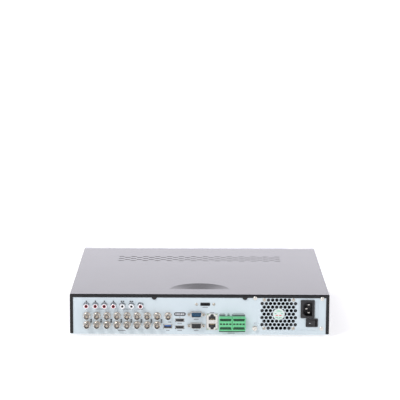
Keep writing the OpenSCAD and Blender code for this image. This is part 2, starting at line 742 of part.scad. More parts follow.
module dsub_shell(at) on_panel(at, -9) difference() {
    linear_extrude(9 + 5.8) d_outline(dsub_size[0], dsub_size[1]);
    translate([0, 0, 1]) linear_extrude(20) d_outline(dsub_size[0] - 1, dsub_size[1] - 1);
}

module serial_shell() color([0.7, 0.69, 0.66]) dsub_shell(serial_at);
module vga_shell() color([0.7, 0.69, 0.66]) dsub_shell(vga_at);

// Blue insert with nine pins standing in its cup
module serial_insert() color([0.1, 0.3, 0.6]) on_panel(serial_at, -8 + 0.02) {
    linear_extrude(8) d_outline(dsub_size[0] - 1.04, dsub_size[1] - 1.04);
    for (row = [0, 1], i = [0:4 - row])
        translate([(i - (4 - row) / 2) * 2.76, 1.4 - 2.84 * row, 7.9]) cylinder(r = 0.5, h = 4.6, $fn = 16);
}

// Black insert filling the shell, with three rows of five contact holes
module vga_insert() color([0.06, 0.06, 0.07]) on_panel(vga_at, -8 + 0.02) difference() {
    linear_extrude(8 + 5.4) d_outline(dsub_size[0] - 3, dsub_size[1] - 2.4);
    for (row = [-1, 0, 1], i = [0:4])
        translate([(i - 2) * 2.29 + 0.57 * row, 1.98 * row, 8]) cylinder(r = 0.45, h = 8, $fn = 16);
}

module jackscrews() color([0.78, 0.77, 0.74]) for (at = [serial_at, vga_at], x = [-1, 1])
    on_panel(at + [x * dsub_screws / 2, 0]) {
        translate([0, 0, -8.9]) cylinder(r = 1.5, h = 9 + lap);
        translate([0, 0, lap]) difference() {
            cylinder(r = 2.75, h = 4.8, $fn = 6);
            translate([0, 0, -0.1]) cylinder(r = 1.25, h = 6);
        }
    }

module esata_port() color([0.05, 0.05, 0.06]) on_panel(esata_at) {
    difference() {
        translate([0, 0, -16]) linear_extrude(16.6) rounded(esata_size[0], esata_size[1], 1.3);
        translate([0, 0, -8]) linear_extrude(10) rounded(esata_size[0] - 2, esata_size[1] - 1.8, 1);
    }
    translate([0, 0.6, -8.1]) linear_extrude(6.5) square([esata_size[0] - 5, 1.2], center = true);
    // flange behind the panel, held by the two small screws
    translate([0, 0, -panel_t - lap - 1.5]) linear_extrude(1.5) difference() {
        square([esata_screws + 7, esata_size[1] + 3], center = true);
        square(esata_size - [3, 3], center = true);
        for (x = [-1, 1]) translate([x * esata_screws / 2, 0]) circle(1.3);
    }
}

// A pan-head screw, its head on z = 0 and its shank below
module pan_screw(head_r, head_h, shank_r, shank_l) {
    translate([0, 0, -shank_l]) cylinder(r = shank_r, h = shank_l + eps);
    difference() {
        rotate_extrude() intersection() {
            translate([0, -head_r * 1.6 + head_h]) circle(head_r * 1.6);
            square([head_r, head_h + 1]);
        }
        cross_recess(head_h, head_r * 1.1);
    }
}

module esata_screws() color([0.75, 0.75, 0.76]) for (x = [-1, 1])
    on_panel(esata_at + [x * esata_screws / 2, 0], lap) pan_screw(2.4, 1.4, 1.2, 4);

// Two stacked network jacks in one shielded housing, the lower one upside down
module jack_mouth() {
    square([11.8, 6.6], center = true);
    translate([0, 3.3 + 1]) square([6.4, 2.2], center = true);
    translate([0, 3.3 + 2.8]) square([4.2, 1.6], center = true);
}

jack_rise = 7.4;                          // each jack's middle from the housing's middle

module network_jacks() color([0.85, 0.83, 0.78]) on_panel(network_at) {
    difference() {
        translate([0, 0, -22]) linear_extrude(22.5) square(network_size, center = true);
        for (s = [-1, 1]) translate([0, s * (jack_rise - 0.9), -14]) turned(s) linear_extrude(20)
            jack_mouth();
        for (p = jack_lamps()) translate([p[0], p[1], -1.5]) linear_extrude(5)
            square([3, 1.6], center = true);
    }
}

// Turn the lower jack over
module turned(s) rotate(s > 0 ? 0 : 180) children();

function jack_lamps() = [for (x = [-1, 1], y = [-1, 1])
    [x * (network_size[0] / 2 - 2.3), y * (network_size[1] / 2 - 1.5)]];

module network_lights() color([0.5, 0.9, 0.3]) for (p = jack_lamps())
    on_panel(network_at + p, -1.5 + 0.02) linear_extrude(1.9) square([2.94, 1.54], center = true);

// Two plug-in terminal blocks side by side, each with two plug bays and a row of wire holes
module terminal_blocks() color([0.35, 0.78, 0.5]) for (s = [-1, 1]) {
    w = terminals_size[0] / 2 - 0.2;
    h = terminals_size[1];
    on_panel(terminals_at + [s * (w / 2 + 0.2), 0]) difference() {
        union() {
            translate([0, 0, -panel_t - 8]) linear_extrude(panel_t + 8 + 1)
                square([w - 2.5, h - 4.6], center = true);
            translate([0, 0, lap]) linear_extrude(terminals_reach) square([w, h], center = true);
        }
        for (y = [-1, 1]) translate([0, y * (h / 2 - 4.7), terminals_reach - 6.5]) linear_extrude(12)
            polygon([[-w / 2 + 1, y * 2], [w / 2 - 1, y * 2], [w / 2 - 2.6, -y * 2],
                [-w / 2 + 2.6, -y * 2]]);
        for (i = [0:3]) translate([(i - 1.5) * 5.08, 0, terminals_reach - 4]) linear_extrude(8)
            square([3, 2], center = true);
    }
}

module ground_screw() color([0.8, 0.79, 0.76]) on_panel(ground_at, lap) {
    translate([0, 0, -6]) cylinder(r = 2, h = 6 + eps);
    cylinder(r = 4.4, h = 0.8);
    difference() {
        translate([0, 0, 0.8]) cylinder(r = 3.6, h = 3.4);
        translate([0, 0, 4.2]) rotate(45) cube([8, 1, 2], center = true);
    }
}

module panel_screws() color([0.8, 0.79, 0.76])
    for (at = panel_screw_at) on_panel(at, lap) pan_screw(panel_screw_r, 2, 1.5, 5);

// ---- fan ------------------------------------------------------------------

fan_at = [right_u(fan_from_right), fan_v];
fan_ring_r = fan_w / 2 - 1.4;
hub_r = 14;
stator_t = 3;

module fan_frame() color([0.08, 0.08, 0.08]) on_panel(fan_at, -panel_t - lap - fan_t) {
    difference() {
        linear_extrude(fan_t) rounded(fan_w, fan_w, 4);
        translate([0, 0, -1]) cylinder(r = fan_ring_r, h = fan_t + 2);
        for (x = [-1, 1], y = [-1, 1])
            translate([x * fan_screw_pitch / 2, y * fan_screw_pitch / 2, -1])
                cylinder(r = 1.75, h = fan_t + 2);
    }
    // motor mount at the back, carried by four struts
    difference() {
        union() {
            cylinder(r = hub_r, h = stator_t);
            for (a = [45:90:315]) rotate(a) translate([hub_r - 1, -2, 0])
                cube([fan_ring_r - hub_r + 1.6, 4, stator_t]);
            cylinder(r = 4, h = fan_t - 5);
        }
        translate([0, 0, 1]) cylinder(r = axle_r + axle_clearance, h = fan_t);
    }
}

module fan_rotor() color([0.13, 0.13, 0.14]) on_panel(fan_at, -panel_t - lap - fan_t) {
    cup_low = stator_t + 0.6;
    cup_high = fan_t - 1.5;
    difference() {
        translate([0, 0, cup_low]) cylinder(r = hub_r, h = cup_high - cup_low);
        translate([0, 0, cup_low - 1]) cylinder(r = hub_r - 1.5, h = cup_high - cup_low - 1);
    }
    translate([0, 0, 1.5]) cylinder(r = axle_r, h = cup_high - 2);
    for (a = [0:360 / 7:359]) rotate(a) intersection() {
        translate([hub_r - 0.4, 0, (cup_low + cup_high) / 2]) rotate([38, 0, 0])
            translate([0, -0.8, -9]) cube([fan_ring_r, 1.6, 18]);
        translate([0, 0, cup_low]) cylinder(r = fan_ring_r - 1, h = cup_high - cup_low);
    }
}

module fan_screws() color([0.7, 0.69, 0.66]) for (x = [-1, 1], y = [-1, 1])
    on_panel(fan_at + fan_screw_pitch / 2 * [x, y], lap) pan_screw(3, 1.2, 1.7, 12);

// Round paper label in the middle of the grille
module grille_label() color([0.93, 0.96, 0.94]) on_panel(fan_at, lap) cylinder(r = 10.2, h = 0.3);

// ---- power inlet and switch -------------------------------------------------

inlet_at = [right_u(inlet_from_right), inlet_v];
switch_at = [right_u(switch_from_right), switch_v];

// The plug's mouth: two corners cut off on the left side
module inlet_mouth(w, h, cut)
    polygon([[w / 2, h / 2], [w / 2, -h / 2], [-w / 2 + cut, -h / 2], [-w / 2, -h / 2 + cut],
        [-w / 2, h / 2 - cut], [-w / 2 + cut, h / 2]]);

module mains_inlet() color([0.07, 0.07, 0.08]) on_panel(inlet_at) difference() {
    union() {
        translate([0, 0, lap]) linear_extrude(2.4) rounded(inlet_w, inlet_h, 1);
        translate([0, 0, -inlet_back]) linear_extrude(inlet_back + 1) square(inlet_body, center = true);
    }
    translate([0, 0, -14]) linear_extrude(20) inlet_mouth(15.5, 24, 4.5);
}

// Three flat pins, the earth pin set to the left
module inlet_pins() color([0.85, 0.84, 0.8])
    for (p = [[-2, 0], [2, 7], [2, -7]]) on_panel(inlet_at + p, -14)
        linear_extrude(12.5) square([4, 2], center = true);

module switch_frame() color([0.07, 0.07, 0.08]) on_panel(switch_at) difference() {
    union() {
        translate([0, 0, lap]) linear_extrude(1.8) rounded(switch_w, switch_h, 1);
        translate([0, 0, -switch_back]) linear_extrude(switch_back + 1)
            square(switch_body, center = true);
    }
    translate([0, 0, -9]) linear_extrude(20) square([rocker_w() + 2 * key_gap, rocker_h() + 0.6],
        center = true);
    // pivot holes above and below the rocker
    rotate([90, 0, 0]) translate([0, rocker_pivot, 0])
        cylinder(r = 1 + axle_clearance, h = rocker_h() + 2, center = true, $fn = 24);
}

rocker_pivot = -4.5;                      // depth of the rocker's axle
function rocker_w() = switch_body[0] - 3.6;
function rocker_h() = switch_body[1] - 2.8;

// A rocker with a shallow valley, resting with its left half pressed in
module power_rocker() color([0.09, 0.09, 0.1]) on_panel(switch_at, rocker_pivot) {
    w = rocker_w() / 2 - 1.1;
    rotate([90, 0, 0]) rotate(rocker_swing / 2)
        linear_extrude(rocker_h(), center = true)
            polygon([[-w, -0.2], [-w, 7.6], [0, 6.4], [w, 7.6], [w, -0.2], [2.4, -2.4], [-2.4, -2.4]]);
    rotate([90, 0, 0]) cylinder(r = 1, h = rocker_h() + 1.4, center = true, $fn = 24);
}

// ---- inside -----------------------------------------------------------------

// A pillar under a board with a screw head on top of the board
module board_post(x, y) translate([x, y, foot_h + floor_v + lap])
    cylinder(r = 3, h = board_lift - lap);

module main_board() color([0.05, 0.3, 0.15]) {
    low_x = left_x(board_left + board_w);
    high_x = left_x(board_left);
    block([low_x, panel_in_y - 0.5 - board_d, board_v], [high_x, panel_in_y - 0.5, deck_v]);
    for (x = [low_x + 8, high_x - 8], y = [panel_in_y - 22, panel_in_y - board_d + 8]) board_post(x, y);
}

chip_row_y = panel_in_y - 0.5 - board_d / 2 - 12;

module board_chips() color([0.08, 0.08, 0.09]) {
    for (i = [0:3]) block([left_x(52 + 30 * i), chip_row_y + 14, deck_v],
        [left_x(38 + 30 * i), chip_row_y + 28, deck_v + 1.4]);
    for (i = [0:1]) block([left_x(200 + 50 * i), chip_row_y - 16, deck_v],
        [left_x(168 + 50 * i), chip_row_y + 16, deck_v + 2.4]);
    for (i = [0:3]) block([left_x(152), chip_row_y - 40 + 16 * i, deck_v],
        [left_x(140), chip_row_y - 29 + 16 * i, deck_v + 1.2]);
    // coin cell in its holder
    translate([left_x(290), chip_row_y - 20, foot_h + deck_v]) cylinder(r = 11, h = 5);
}

// Finned coolers on the two processors
module board_heatsinks() color([0.7, 0.72, 0.75]) for (i = [0:1]) {
    x = left_x(184 + 50 * i);
    v = deck_v + 2.4;
    block([x - 19, chip_row_y - 19, v], [x + 19, chip_row_y + 19, v + 2.5]);
    for (f = [0:8]) block([x - 19 + f * 4.6, chip_row_y - 19, v + 2.4],
        [x - 19 + f * 4.6 + 1.2, chip_row_y + 19, v + 13]);
}

module audio_board() color([0.05, 0.3, 0.15]) {
    low_x = left_x(rca_from_left + (rca_count - 0.5) * rca_pitch + 2);
    high_x = left_x(rca_from_left - rca_pitch / 2 - 2);
    block([low_x, panel_in_y - 42, audio_v()], [high_x, panel_in_y - 0.5, audio_v() + board_t]);
    // header that carries the board's back edge
    block([low_x + 20, panel_in_y - 40, deck_v], [high_x - 20, panel_in_y - 37, audio_v() + eps]);
}

supply_low_x = right_x(13);
supply_high_x = right_x(13 + supply_w);
supply_y = panel_in_y - supply_from_panel;

module supply_board() color([0.75, 0.65, 0.35]) {
    block([supply_low_x, supply_y - supply_l, board_v], [supply_high_x, supply_y, deck_v]);
    for (x = [supply_low_x + 6, supply_high_x - 6], y = [supply_y - 6, supply_y - supply_l + 6])
        board_post(x, y);
}

module supply_parts() color([0.2, 0.2, 0.22]) {
    // transformer with its core
    block([supply_low_x + 40, supply_y - 90, deck_v], [supply_low_x + 74, supply_y - 58, deck_v + 27]);
    block([supply_low_x + 34, supply_y - 84, deck_v], [supply_low_x + 80, supply_y - 64, deck_v + 22]);
    // heat plates
    for (x = [18, 90]) block([supply_low_x + x, supply_y - 130, deck_v],
        [supply_low_x + x + 3, supply_y - 60, deck_v + 32]);
    // capacitors
    for (p = [[34, 26, 11, 28], [64, 26, 11, 28], [40, 112, 6, 20], [56, 112, 6, 20], [72, 112, 6, 20]])
        translate([supply_low_x + p[0], supply_y - p[1], foot_h + deck_v]) cylinder(r = p[2], h = p[3]);
}

drive_y = base_y + base_t + drive_from_front;

module drive_tray() color([0.75, 0.76, 0.78]) {
    low_x = left_x(drive_from_left + drive_pitch + drive_w + 4);
    high_x = left_x(drive_from_left - 4);
    block([low_x, drive_y + 4, tray_v], [high_x, drive_y + drive_l - 4, tray_v + tray_t]);
    for (x = [low_x, (low_x + high_x) / 2 - 6, high_x - 12], y = [drive_y + 4, drive_y + drive_l - 16])
        block([x, y, floor_v], [x + 12, y + 12, tray_v + eps]);
}

module hard_drives() color([0.65, 0.66, 0.68]) for (i = [0, 1]) {
    high_x = left_x(drive_from_left + i * drive_pitch);
    v = tray_v + tray_t;
    block([high_x - drive_w, drive_y, v], [high_x, drive_y + drive_l, v + drive_h - 1.6]);
    translate([high_x - drive_w / 2, drive_y + drive_l * 0.56, foot_h + v + drive_h - 1.7])
        cylinder(r = drive_w * 0.46, h = 1.7);
}

// Leads and ribbons clipped inside the case
module cables() color([0.7, 0.1, 0.1]) {
    drive_back = drive_y + drive_l;
    board_front = panel_in_y - 0.5 - board_d;
    lead_v = foot_h + deck_v;
    // data leads from the two drives to the main board
    for (i = [0, 1]) {
        x = left_x(drive_from_left + i * drive_pitch + 40);
        wire([[x, drive_back + 0.2, lead_v + 12], [x, drive_back + 6, lead_v + 12],
            [x, board_front + 6, lead_v + 6], [x, board_front + 6, lead_v + 0.2]], 2);
    }
    // fan lead to the main board
    wire([[fan_x + 20, panel_in_y - fan_t - 0.4, foot_h + 14],
        [fan_x + 20, panel_in_y - fan_t - 8, foot_h + 14],
        [left_x(board_left + board_w) + 6, panel_in_y - fan_t - 14, lead_v + 4],
        [left_x(board_left + board_w) + 6, panel_in_y - fan_t - 14, lead_v + 0.2]], 1.2);
    // lead from the external disk port
    wire([[left_x(esata_at[0]), panel_y - 16.2, foot_h + esata_at[1]],
        [left_x(esata_at[0]), panel_y - 26, foot_h + esata_at[1]],
        [left_x(esata_at[0]) + 4, panel_y - 38, lead_v + 6],
        [left_x(esata_at[0]) + 4, panel_y - 38, lead_v + 0.2]], 2);
    // front board's lead to the main board, past the drives
    lead_x = left_x(board_left + board_w) + 29.5;
    start_x = front_lead_x - body_w / 2;
    wire([[start_x, base_y - front_board_gap + 0.2, foot_h + 30], [start_x, base_y + 13, foot_h + 30],
        [lead_x, base_y + 15, foot_h + 30], [lead_x, base_y + 36, foot_h + 14],
        [lead_x, board_front + 5, lead_v + 5], [lead_x, board_front + 5, lead_v + 0.2]], 2.5);
    // mains leads: inlet to switch, switch to power supply
    wire([[inlet_x - 5, panel_y - inlet_back - 0.2, foot_h + inlet_v - 9],
        [inlet_x - 5, panel_y - inlet_back - 6, foot_h + inlet_v - 9],
        [switch_x, panel_y - switch_back - 7, foot_h + switch_v],
        [switch_x, panel_y - switch_back - 0.2, foot_h + switch_v]], 1.5);
    for (s = [-1, 1]) wire([[inlet_x + 5, panel_y - inlet_back - 0.2, foot_h + inlet_v + 8 * s],
        [inlet_x + 5, panel_y - inlet_back - 5, foot_h + inlet_v + 8 * s],
        [inlet_x + 5 * s, supply_y - 6, lead_v + 8], [inlet_x + 5 * s, supply_y - 6, lead_v + 0.2]], 1.5);
}

chassis_base();
rear_panel();
top_cover();
cover_screws();
front_bezel();
front_fascia();
display_window();
status_lights();
power_button();
key_up();
key_down();
key_left();
key_right();
key_enter();
front_ports();
front_board();
feet();
bnc_shells();
bnc_insulators();
bnc_contacts();
bnc_blocks();
rca_shells();
rca_red_inserts();
rca_white_inserts();
rca_block();
usb_shell();
usb_tongue();
hdmi_shells();
hdmi_block();
dsub_block();
serial_shell();
serial_insert();
vga_shell();
vga_insert();
jackscrews();
esata_port();
esata_screws();
network_jacks();
network_lights();
terminal_blocks();
ground_screw();
panel_screws();
fan_frame();
fan_rotor();
fan_screws();
grille_label();
mains_inlet();
inlet_pins();
switch_frame();
power_rocker();
main_board();
board_chips();
board_heatsinks();
audio_board();
supply_board();
supply_parts();
hard_drives();
drive_tray();
cables();
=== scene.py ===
# %% [markdown]
# # A sixteen-channel video recorder
# The recorder is a flat steel box. Its back carries rows of coaxial sockets, sound sockets,
# display and network ports, green alarm terminals, a fan grille and the mains inlet. The CAD
# frame already holds every solid at its true size. This lesson loads it, gives each part a
# finish, and rebuilds the parts whose bends, lips and bevels the eye looks for.

# %% Load the frame
import math

import bmesh
import bpy
from mathutils import Matrix, Vector


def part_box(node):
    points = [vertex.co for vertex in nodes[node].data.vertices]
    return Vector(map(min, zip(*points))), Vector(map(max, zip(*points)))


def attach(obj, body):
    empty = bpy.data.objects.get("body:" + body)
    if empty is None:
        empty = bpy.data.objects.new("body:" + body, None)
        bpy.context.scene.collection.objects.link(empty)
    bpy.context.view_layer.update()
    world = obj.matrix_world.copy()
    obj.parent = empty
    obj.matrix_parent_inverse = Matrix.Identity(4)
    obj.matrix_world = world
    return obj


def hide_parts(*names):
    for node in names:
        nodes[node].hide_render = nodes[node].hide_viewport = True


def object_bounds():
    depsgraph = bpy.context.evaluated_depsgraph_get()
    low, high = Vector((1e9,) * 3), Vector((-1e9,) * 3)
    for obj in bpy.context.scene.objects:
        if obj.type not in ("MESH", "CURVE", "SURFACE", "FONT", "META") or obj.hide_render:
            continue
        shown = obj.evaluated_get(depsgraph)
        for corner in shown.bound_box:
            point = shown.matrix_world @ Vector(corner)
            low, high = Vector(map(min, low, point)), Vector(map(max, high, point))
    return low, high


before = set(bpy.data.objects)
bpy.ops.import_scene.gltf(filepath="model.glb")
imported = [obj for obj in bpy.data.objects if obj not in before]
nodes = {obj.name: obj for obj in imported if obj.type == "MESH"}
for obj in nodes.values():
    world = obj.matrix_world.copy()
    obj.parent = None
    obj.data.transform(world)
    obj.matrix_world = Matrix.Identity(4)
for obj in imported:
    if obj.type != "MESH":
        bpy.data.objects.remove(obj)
cad_low, cad_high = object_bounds()
MM = 0.001
print("recorder is", [round(v / MM, 1) for v in cad_high - cad_low], "mm")

# %% [markdown]
# ## Camera
# The view is taken from behind and a little above, with a long lens, so that the case hardly
# narrows towards its front. A long lens far away is set by its place and three angles: how far it
# turns from straight on, how far it dips, and how far it leans.

# %% Place the camera
CAMERA_SPOT = Vector((0.0067, 2.9732, 0.7470))
TURN, DIP, LEAN = (math.radians(a) for a in (0.134, 10.327, 0.279))

ahead = Vector((-math.sin(TURN) * math.cos(DIP), -math.cos(TURN) * math.cos(DIP), -math.sin(DIP)))
level = Vector((-math.cos(TURN), math.sin(TURN), 0))
above = level.cross(ahead)
side = level * math.cos(LEAN) + above * math.sin(LEAN)
top = above * math.cos(LEAN) - level * math.sin(LEAN)
camera = bpy.data.objects.new("camera", bpy.data.cameras.new("camera"))
camera.data.lens, camera.data.sensor_width = 150.43, 36
camera.data.clip_start, camera.data.clip_end = 0.1, 200
camera.matrix_world = Matrix.Translation(CAMERA_SPOT) @ Matrix((side, top,
    -ahead)).transposed().to_4x4()
bpy.context.scene.collection.objects.link(camera)
bpy.context.scene.camera = camera
print("camera looks along", [round(v, 3) for v in ahead])

# %% [markdown]
# ## Studio
# Dark paint looks pale when it is seen at a glancing angle against a bright wall, and that is
# what the cover's top shows. So the surroundings are brightest near the horizon and dimmer
# overhead. A world gradient does this with no wall in the way of other views. Three large soft
# lights shape the sockets and the front, and a wide pale floor closes the scene.

# %% Set the surroundings, lights and floor
SKY = [(0.0, 0.68), (1.0, 0.5), (0.25, 0.70), (0.5, 0.6)]
SKY_TINT = (0.97, 0.95, 1.03, 1)
WALL_SPREAD = [(0.45, 0), (0.85, 1)]
WALL_HEIGHT = [(0.0, 1), (1.0, 0), (0.23, 1), (0.42, 0)]
WALL_LEVEL = 2.05
REAR_AIM, FRONT_AIM = (0, 0.19, 0.03), (0, -0.2, 0.03)


def ramp(tree, value, stops):
    """Turns a value into a colour through stops of (position, colour or grey level)."""
    node = tree.nodes.new("ShaderNodeValToRGB")
    elements = node.color_ramp.elements
    for index, (position, colour) in enumerate(stops):
        stop = elements[index] if index < 2 else elements.new(position)
        colour = colour if isinstance(colour, tuple) else (colour,) * 3
        stop.position, stop.color = position, (*colour, 1)
    tree.links.new(value, node.inputs[0])
    return node.outputs[0]


def light_world():
    """White surroundings whose strength follows the height above the horizon, with a bright
    backdrop low down on the far side of the recorder."""
    world = bpy.data.worlds.new("studio")
    world.use_nodes = True
    bpy.context.scene.world = world
    tree = world.node_tree
    spot = tree.nodes.new("ShaderNodeTexCoord")
    split = tree.nodes.new("ShaderNodeSeparateXYZ")
    tree.links.new(spot.outputs["Generated"], split.inputs[0])

    def combined(operation, first, second):
        node = tree.nodes.new("ShaderNodeMath")
        node.operation = operation
        tree.links.new(first, node.inputs[0])
        if isinstance(second, float):
            node.inputs[1].default_value = second
        else:
            tree.links.new(second, node.inputs[1])
        return node.outputs[0]

    away = combined("MULTIPLY", split.outputs["Y"], -1.0)
    height = split.outputs["Z"]
    low_wall = combined("MULTIPLY", ramp(tree, away, WALL_SPREAD), ramp(tree, height, WALL_HEIGHT))
    wall = combined("MULTIPLY", low_wall, WALL_LEVEL)
    strength = combined("ADD", ramp(tree, height, SKY), wall)
    tree.links.new(strength, tree.nodes["Background"].inputs["Strength"])
    tree.nodes["Background"].inputs["Color"].default_value = SKY_TINT


def soft_light(name, spot, aim, size, watts):
    """A square area light that faces a point."""
    lamp = bpy.data.objects.new(name, bpy.data.lights.new(name, "AREA"))
    lamp.data.size, lamp.data.energy = size, watts
    lamp.location = spot
    lamp.rotation_euler = (Vector(aim) - Vector(spot)).to_track_quat("-Z", "Y").to_euler()
    bpy.context.scene.collection.objects.link(lamp)


bpy.context.scene.view_settings.view_transform = "Standard"
light_world()
soft_light("key_light", (1.6, 2.0, 2.2), REAR_AIM, 0.8, 40)
soft_light("fill_light", (-2.2, 1.6, 1.4), REAR_AIM, 1.2, 10)
soft_light("front_light", (1.2, -2.4, 2.0), FRONT_AIM, 1.2, 20)


def lay_floor(size):
    """A wide pale disc under the feet, a little bright in itself so that it stays white."""
    bpy.ops.object.select_all(action="DESELECT")
    bpy.ops.mesh.primitive_circle_add(vertices=64, radius=size, location=(0, 0, 0),
        fill_type="NGON")
    floor = bpy.context.object
    floor.name = "studio_floor"
    material = bpy.data.materials.new("studio_floor")
    material.use_nodes = True
    shader = material.node_tree.nodes["Principled BSDF"]
    shader.inputs["Base Color"].default_value = (0.88, 0.88, 0.88, 1)
    shader.inputs["Roughness"].default_value = 0.9
    shader.inputs["Emission Color"].default_value = (1, 1, 1, 1)
    shader.inputs["Emission Strength"].default_value = 0.5
    floor.data.materials.append(material)


FLOOR_R = 60
lay_floor(FLOOR_R)
print("stage set with", len(bpy.data.lights), "soft lights")

# %% [markdown]
# ## Finishes
# Real surfaces are never one flat colour. Each finish here starts from the same small kit: a fine
# noise becomes a bump for the grain, a coarse noise drifts the colour between two close tones, and
# another drifts the roughness, so that reflections break up. All patterns read object
# coordinates, which here are metres on the recorder itself, so that grain has its true size.

# %% A kit for procedural finishes
MID_LOW, MID_HIGH = 0.3, 0.7  # most of a noise lies between these
finishes = {}


def new_finish(name, roughness=0.5, metallic=0.0, **sockets):
    """Lists an empty finish, and returns its node tree, shader and object coordinates."""
    material = bpy.data.materials.new("finish_" + name)
    material.use_nodes = True
    tree = material.node_tree
    shader = tree.nodes["Principled BSDF"]
    shader.inputs["Roughness"].default_value = roughness
    shader.inputs["Metallic"].default_value = metallic
    for socket, value in sockets.items():
        shader.inputs[socket.replace("_", " ")].default_value = value
    finishes[name] = material
    return tree, shader, tree.nodes.new("ShaderNodeTexCoord").outputs["Object"]


def add_node(tree, kind, **inputs):
    """Adds a shader node. Each input is given a value, or a socket to be linked to."""
    node = tree.nodes.new("ShaderNode" + kind)
    for name, value in inputs.items():
        socket = node.inputs[name.replace("_", " ")]
        if isinstance(value, bpy.types.NodeSocket):
            tree.links.new(value, socket)
        else:
            socket.default_value = value
    return node


def stretched(tree, place, scale, turn=(0, 0, 0)):
    """The object coordinates, scaled by a different amount along each axis."""
    return add_node(tree, "Mapping", Vector=place, Scale=scale, Rotation=turn).outputs[0]


def noise(tree, place, size, detail=2.0):
    """Noise whose lumps are about size millimetres across."""
    node = add_node(tree, "TexNoise", Vector=place, Scale=1 / (size * MM), Detail=detail)
    return node.outputs["Fac"]


def between(tree, value, low, high):
    """Maps a noise's middle range to low..high."""
    node = add_node(tree, "MapRange", Value=value, From_Min=MID_LOW, From_Max=MID_HIGH, To_Min=low,
        To_Max=high)
    return node.outputs[0]


def bump(tree, shader, height, depth, strength=1.0):
    """Adds a relief of depth millimetres to a shader, over what relief it has."""
    node = add_node(tree, "Bump", Height=height, Distance=depth * MM, Strength=strength)
    if shader.inputs["Normal"].is_linked:
        tree.links.new(shader.inputs["Normal"].links[0].from_socket, node.inputs["Normal"])
    tree.links.new(node.outputs[0], shader.inputs["Normal"])


def surface(name, dark, light, rough, metallic=0.0, grain=(0.5, 0.02), drift=25, **sockets):
    """The common finish: drifting colour and roughness, and a fine grain."""
    tree, shader, place = new_finish(name, metallic=metallic, **sockets)
    tone = noise(tree, place, drift, 4)
    tree.links.new(ramp(tree, tone, [(0.35, dark), (0.65, light)]), shader.inputs["Base Color"])
    tree.links.new(between(tree, noise(tree, place, drift / 3, 3), *rough),
        shader.inputs["Roughness"])
    bump(tree, shader, noise(tree, place, grain[0], 1), grain[1])
    return tree, shader, place


print("finish kit ready")

# %% [markdown]
# ### Paints
# The cover wears a dark powder coat: near black, hardly textured, with a soft sheen. Powder melts
# into tiny even lumps, so a fine noise makes its relief. The connector panel is a pale blue-grey
# satin paint on flat sheet, which shows only a faint drift of tone and a few rub marks.

# %% Paint the case
surface("cover_paint", (0.0026, 0.0027, 0.0036), (0.0040, 0.0042, 0.0054), (0.25, 0.256),
    grain=(0.45, 0.0004), drift=160, IOR=1.41)

tree, shader, place = surface("panel_paint", (0.550, 0.630, 0.665), (0.580, 0.660, 0.690),
    (0.36, 0.48), grain=(0.35, 0.004), drift=90)
rubs = stretched(tree, place, (40, 40, 900), (0, 0.5, 0))
bump(tree, shader, noise(tree, rubs, 1000, 3), 0.004, 0.6)
print("paints:", list(finishes))

# %% [markdown]
# ### Metals
# Bare metals are told apart by tint and by how their reflections break up. Zinc-coated steel shows
# spangles, which cells of a Voronoi pattern give. Nickel, tin and gold plating keep a smooth
# mirror that is only clouded here and there, and machined aluminium has lines along one way.

# %% Plate the metals
def plated(name, dark, light, rough):
    surface(name, dark, light, rough, 1.0, (0.4, 0.003), 3.0)


plated("socket_nickel", (0.58, 0.525, 0.46), (0.72, 0.67, 0.605), (0.20, 0.36))
plated("ring_metal", (0.80, 0.80, 0.82), (0.90, 0.90, 0.92), (0.14, 0.28))
plated("tin_steel", (0.56, 0.55, 0.52), (0.70, 0.69, 0.66), (0.26, 0.42))
plated("screw_nickel", (0.62, 0.60, 0.555), (0.74, 0.715, 0.665), (0.22, 0.36))
plated("zinc_screw", (0.42, 0.39, 0.34), (0.55, 0.52, 0.46), (0.28, 0.42))
plated("contact_gold", (0.74, 0.52, 0.20), (0.88, 0.66, 0.30), (0.18, 0.32))

surface("black_screw", (0.02, 0.02, 0.021), (0.045, 0.044, 0.044), (0.32, 0.5), 0.6, (0.3, 0.004),
    2)

SPANGLE, FLAKE = 9, 0.18  # sizes in millimetres
tree, shader, place = new_finish("tray_steel", metallic=1.0)
cells = add_node(tree, "TexVoronoi", Vector=place, Scale=1 / (SPANGLE * MM))
spangle = add_node(tree, "SeparateColor", Color=cells.outputs["Color"])
tint = ramp(tree, spangle.outputs[0], [(0.0, (0.50, 0.52, 0.54)), (1.0, (0.66, 0.68, 0.70))])
tree.links.new(tint, shader.inputs["Base Color"])
tree.links.new(between(tree, spangle.outputs[1], 0.28, 0.46), shader.inputs["Roughness"])
bump(tree, shader, noise(tree, place, 0.8, 2), 0.004)

for name, tone in (("cooler_aluminium", (0.60, 0.62, 0.64)), ("drive_aluminium",
        (0.52, 0.53, 0.55))):
    tree, shader, place = surface(name, tuple(v * 0.88 for v in tone), tone, (0.30, 0.45), 1.0,
        (0.6, 0.003), 20)
    lines = stretched(tree, place, (60, 2200, 2200))
    bump(tree, shader, noise(tree, lines, 1000, 2), 0.006, 0.7)
print("metals:", len(finishes) - 2)

# %% [markdown]
# ### Plastics, rubber and paper
# Moulded plastic takes the grain of its mould: fine on sockets, smooth on the gloss fascia, soft on
# keys. The silver bezel is plastic painted with metal flakes, so its base is part metallic. Light
# pipes and the display window let some light in, which transmission and a low roughness give.

# %% Mould the plastics
def moulded(name, dark, light, rough, grain=(0.35, 0.010), drift=12, **sockets):
    surface(name, dark, light, rough, 0.0, grain, drift, **sockets)


def printed(name, dark, light):
    """The matt finish of printed ink."""
    moulded(name, dark, light, (0.5, 0.65), (0.1, 0.003), 3)


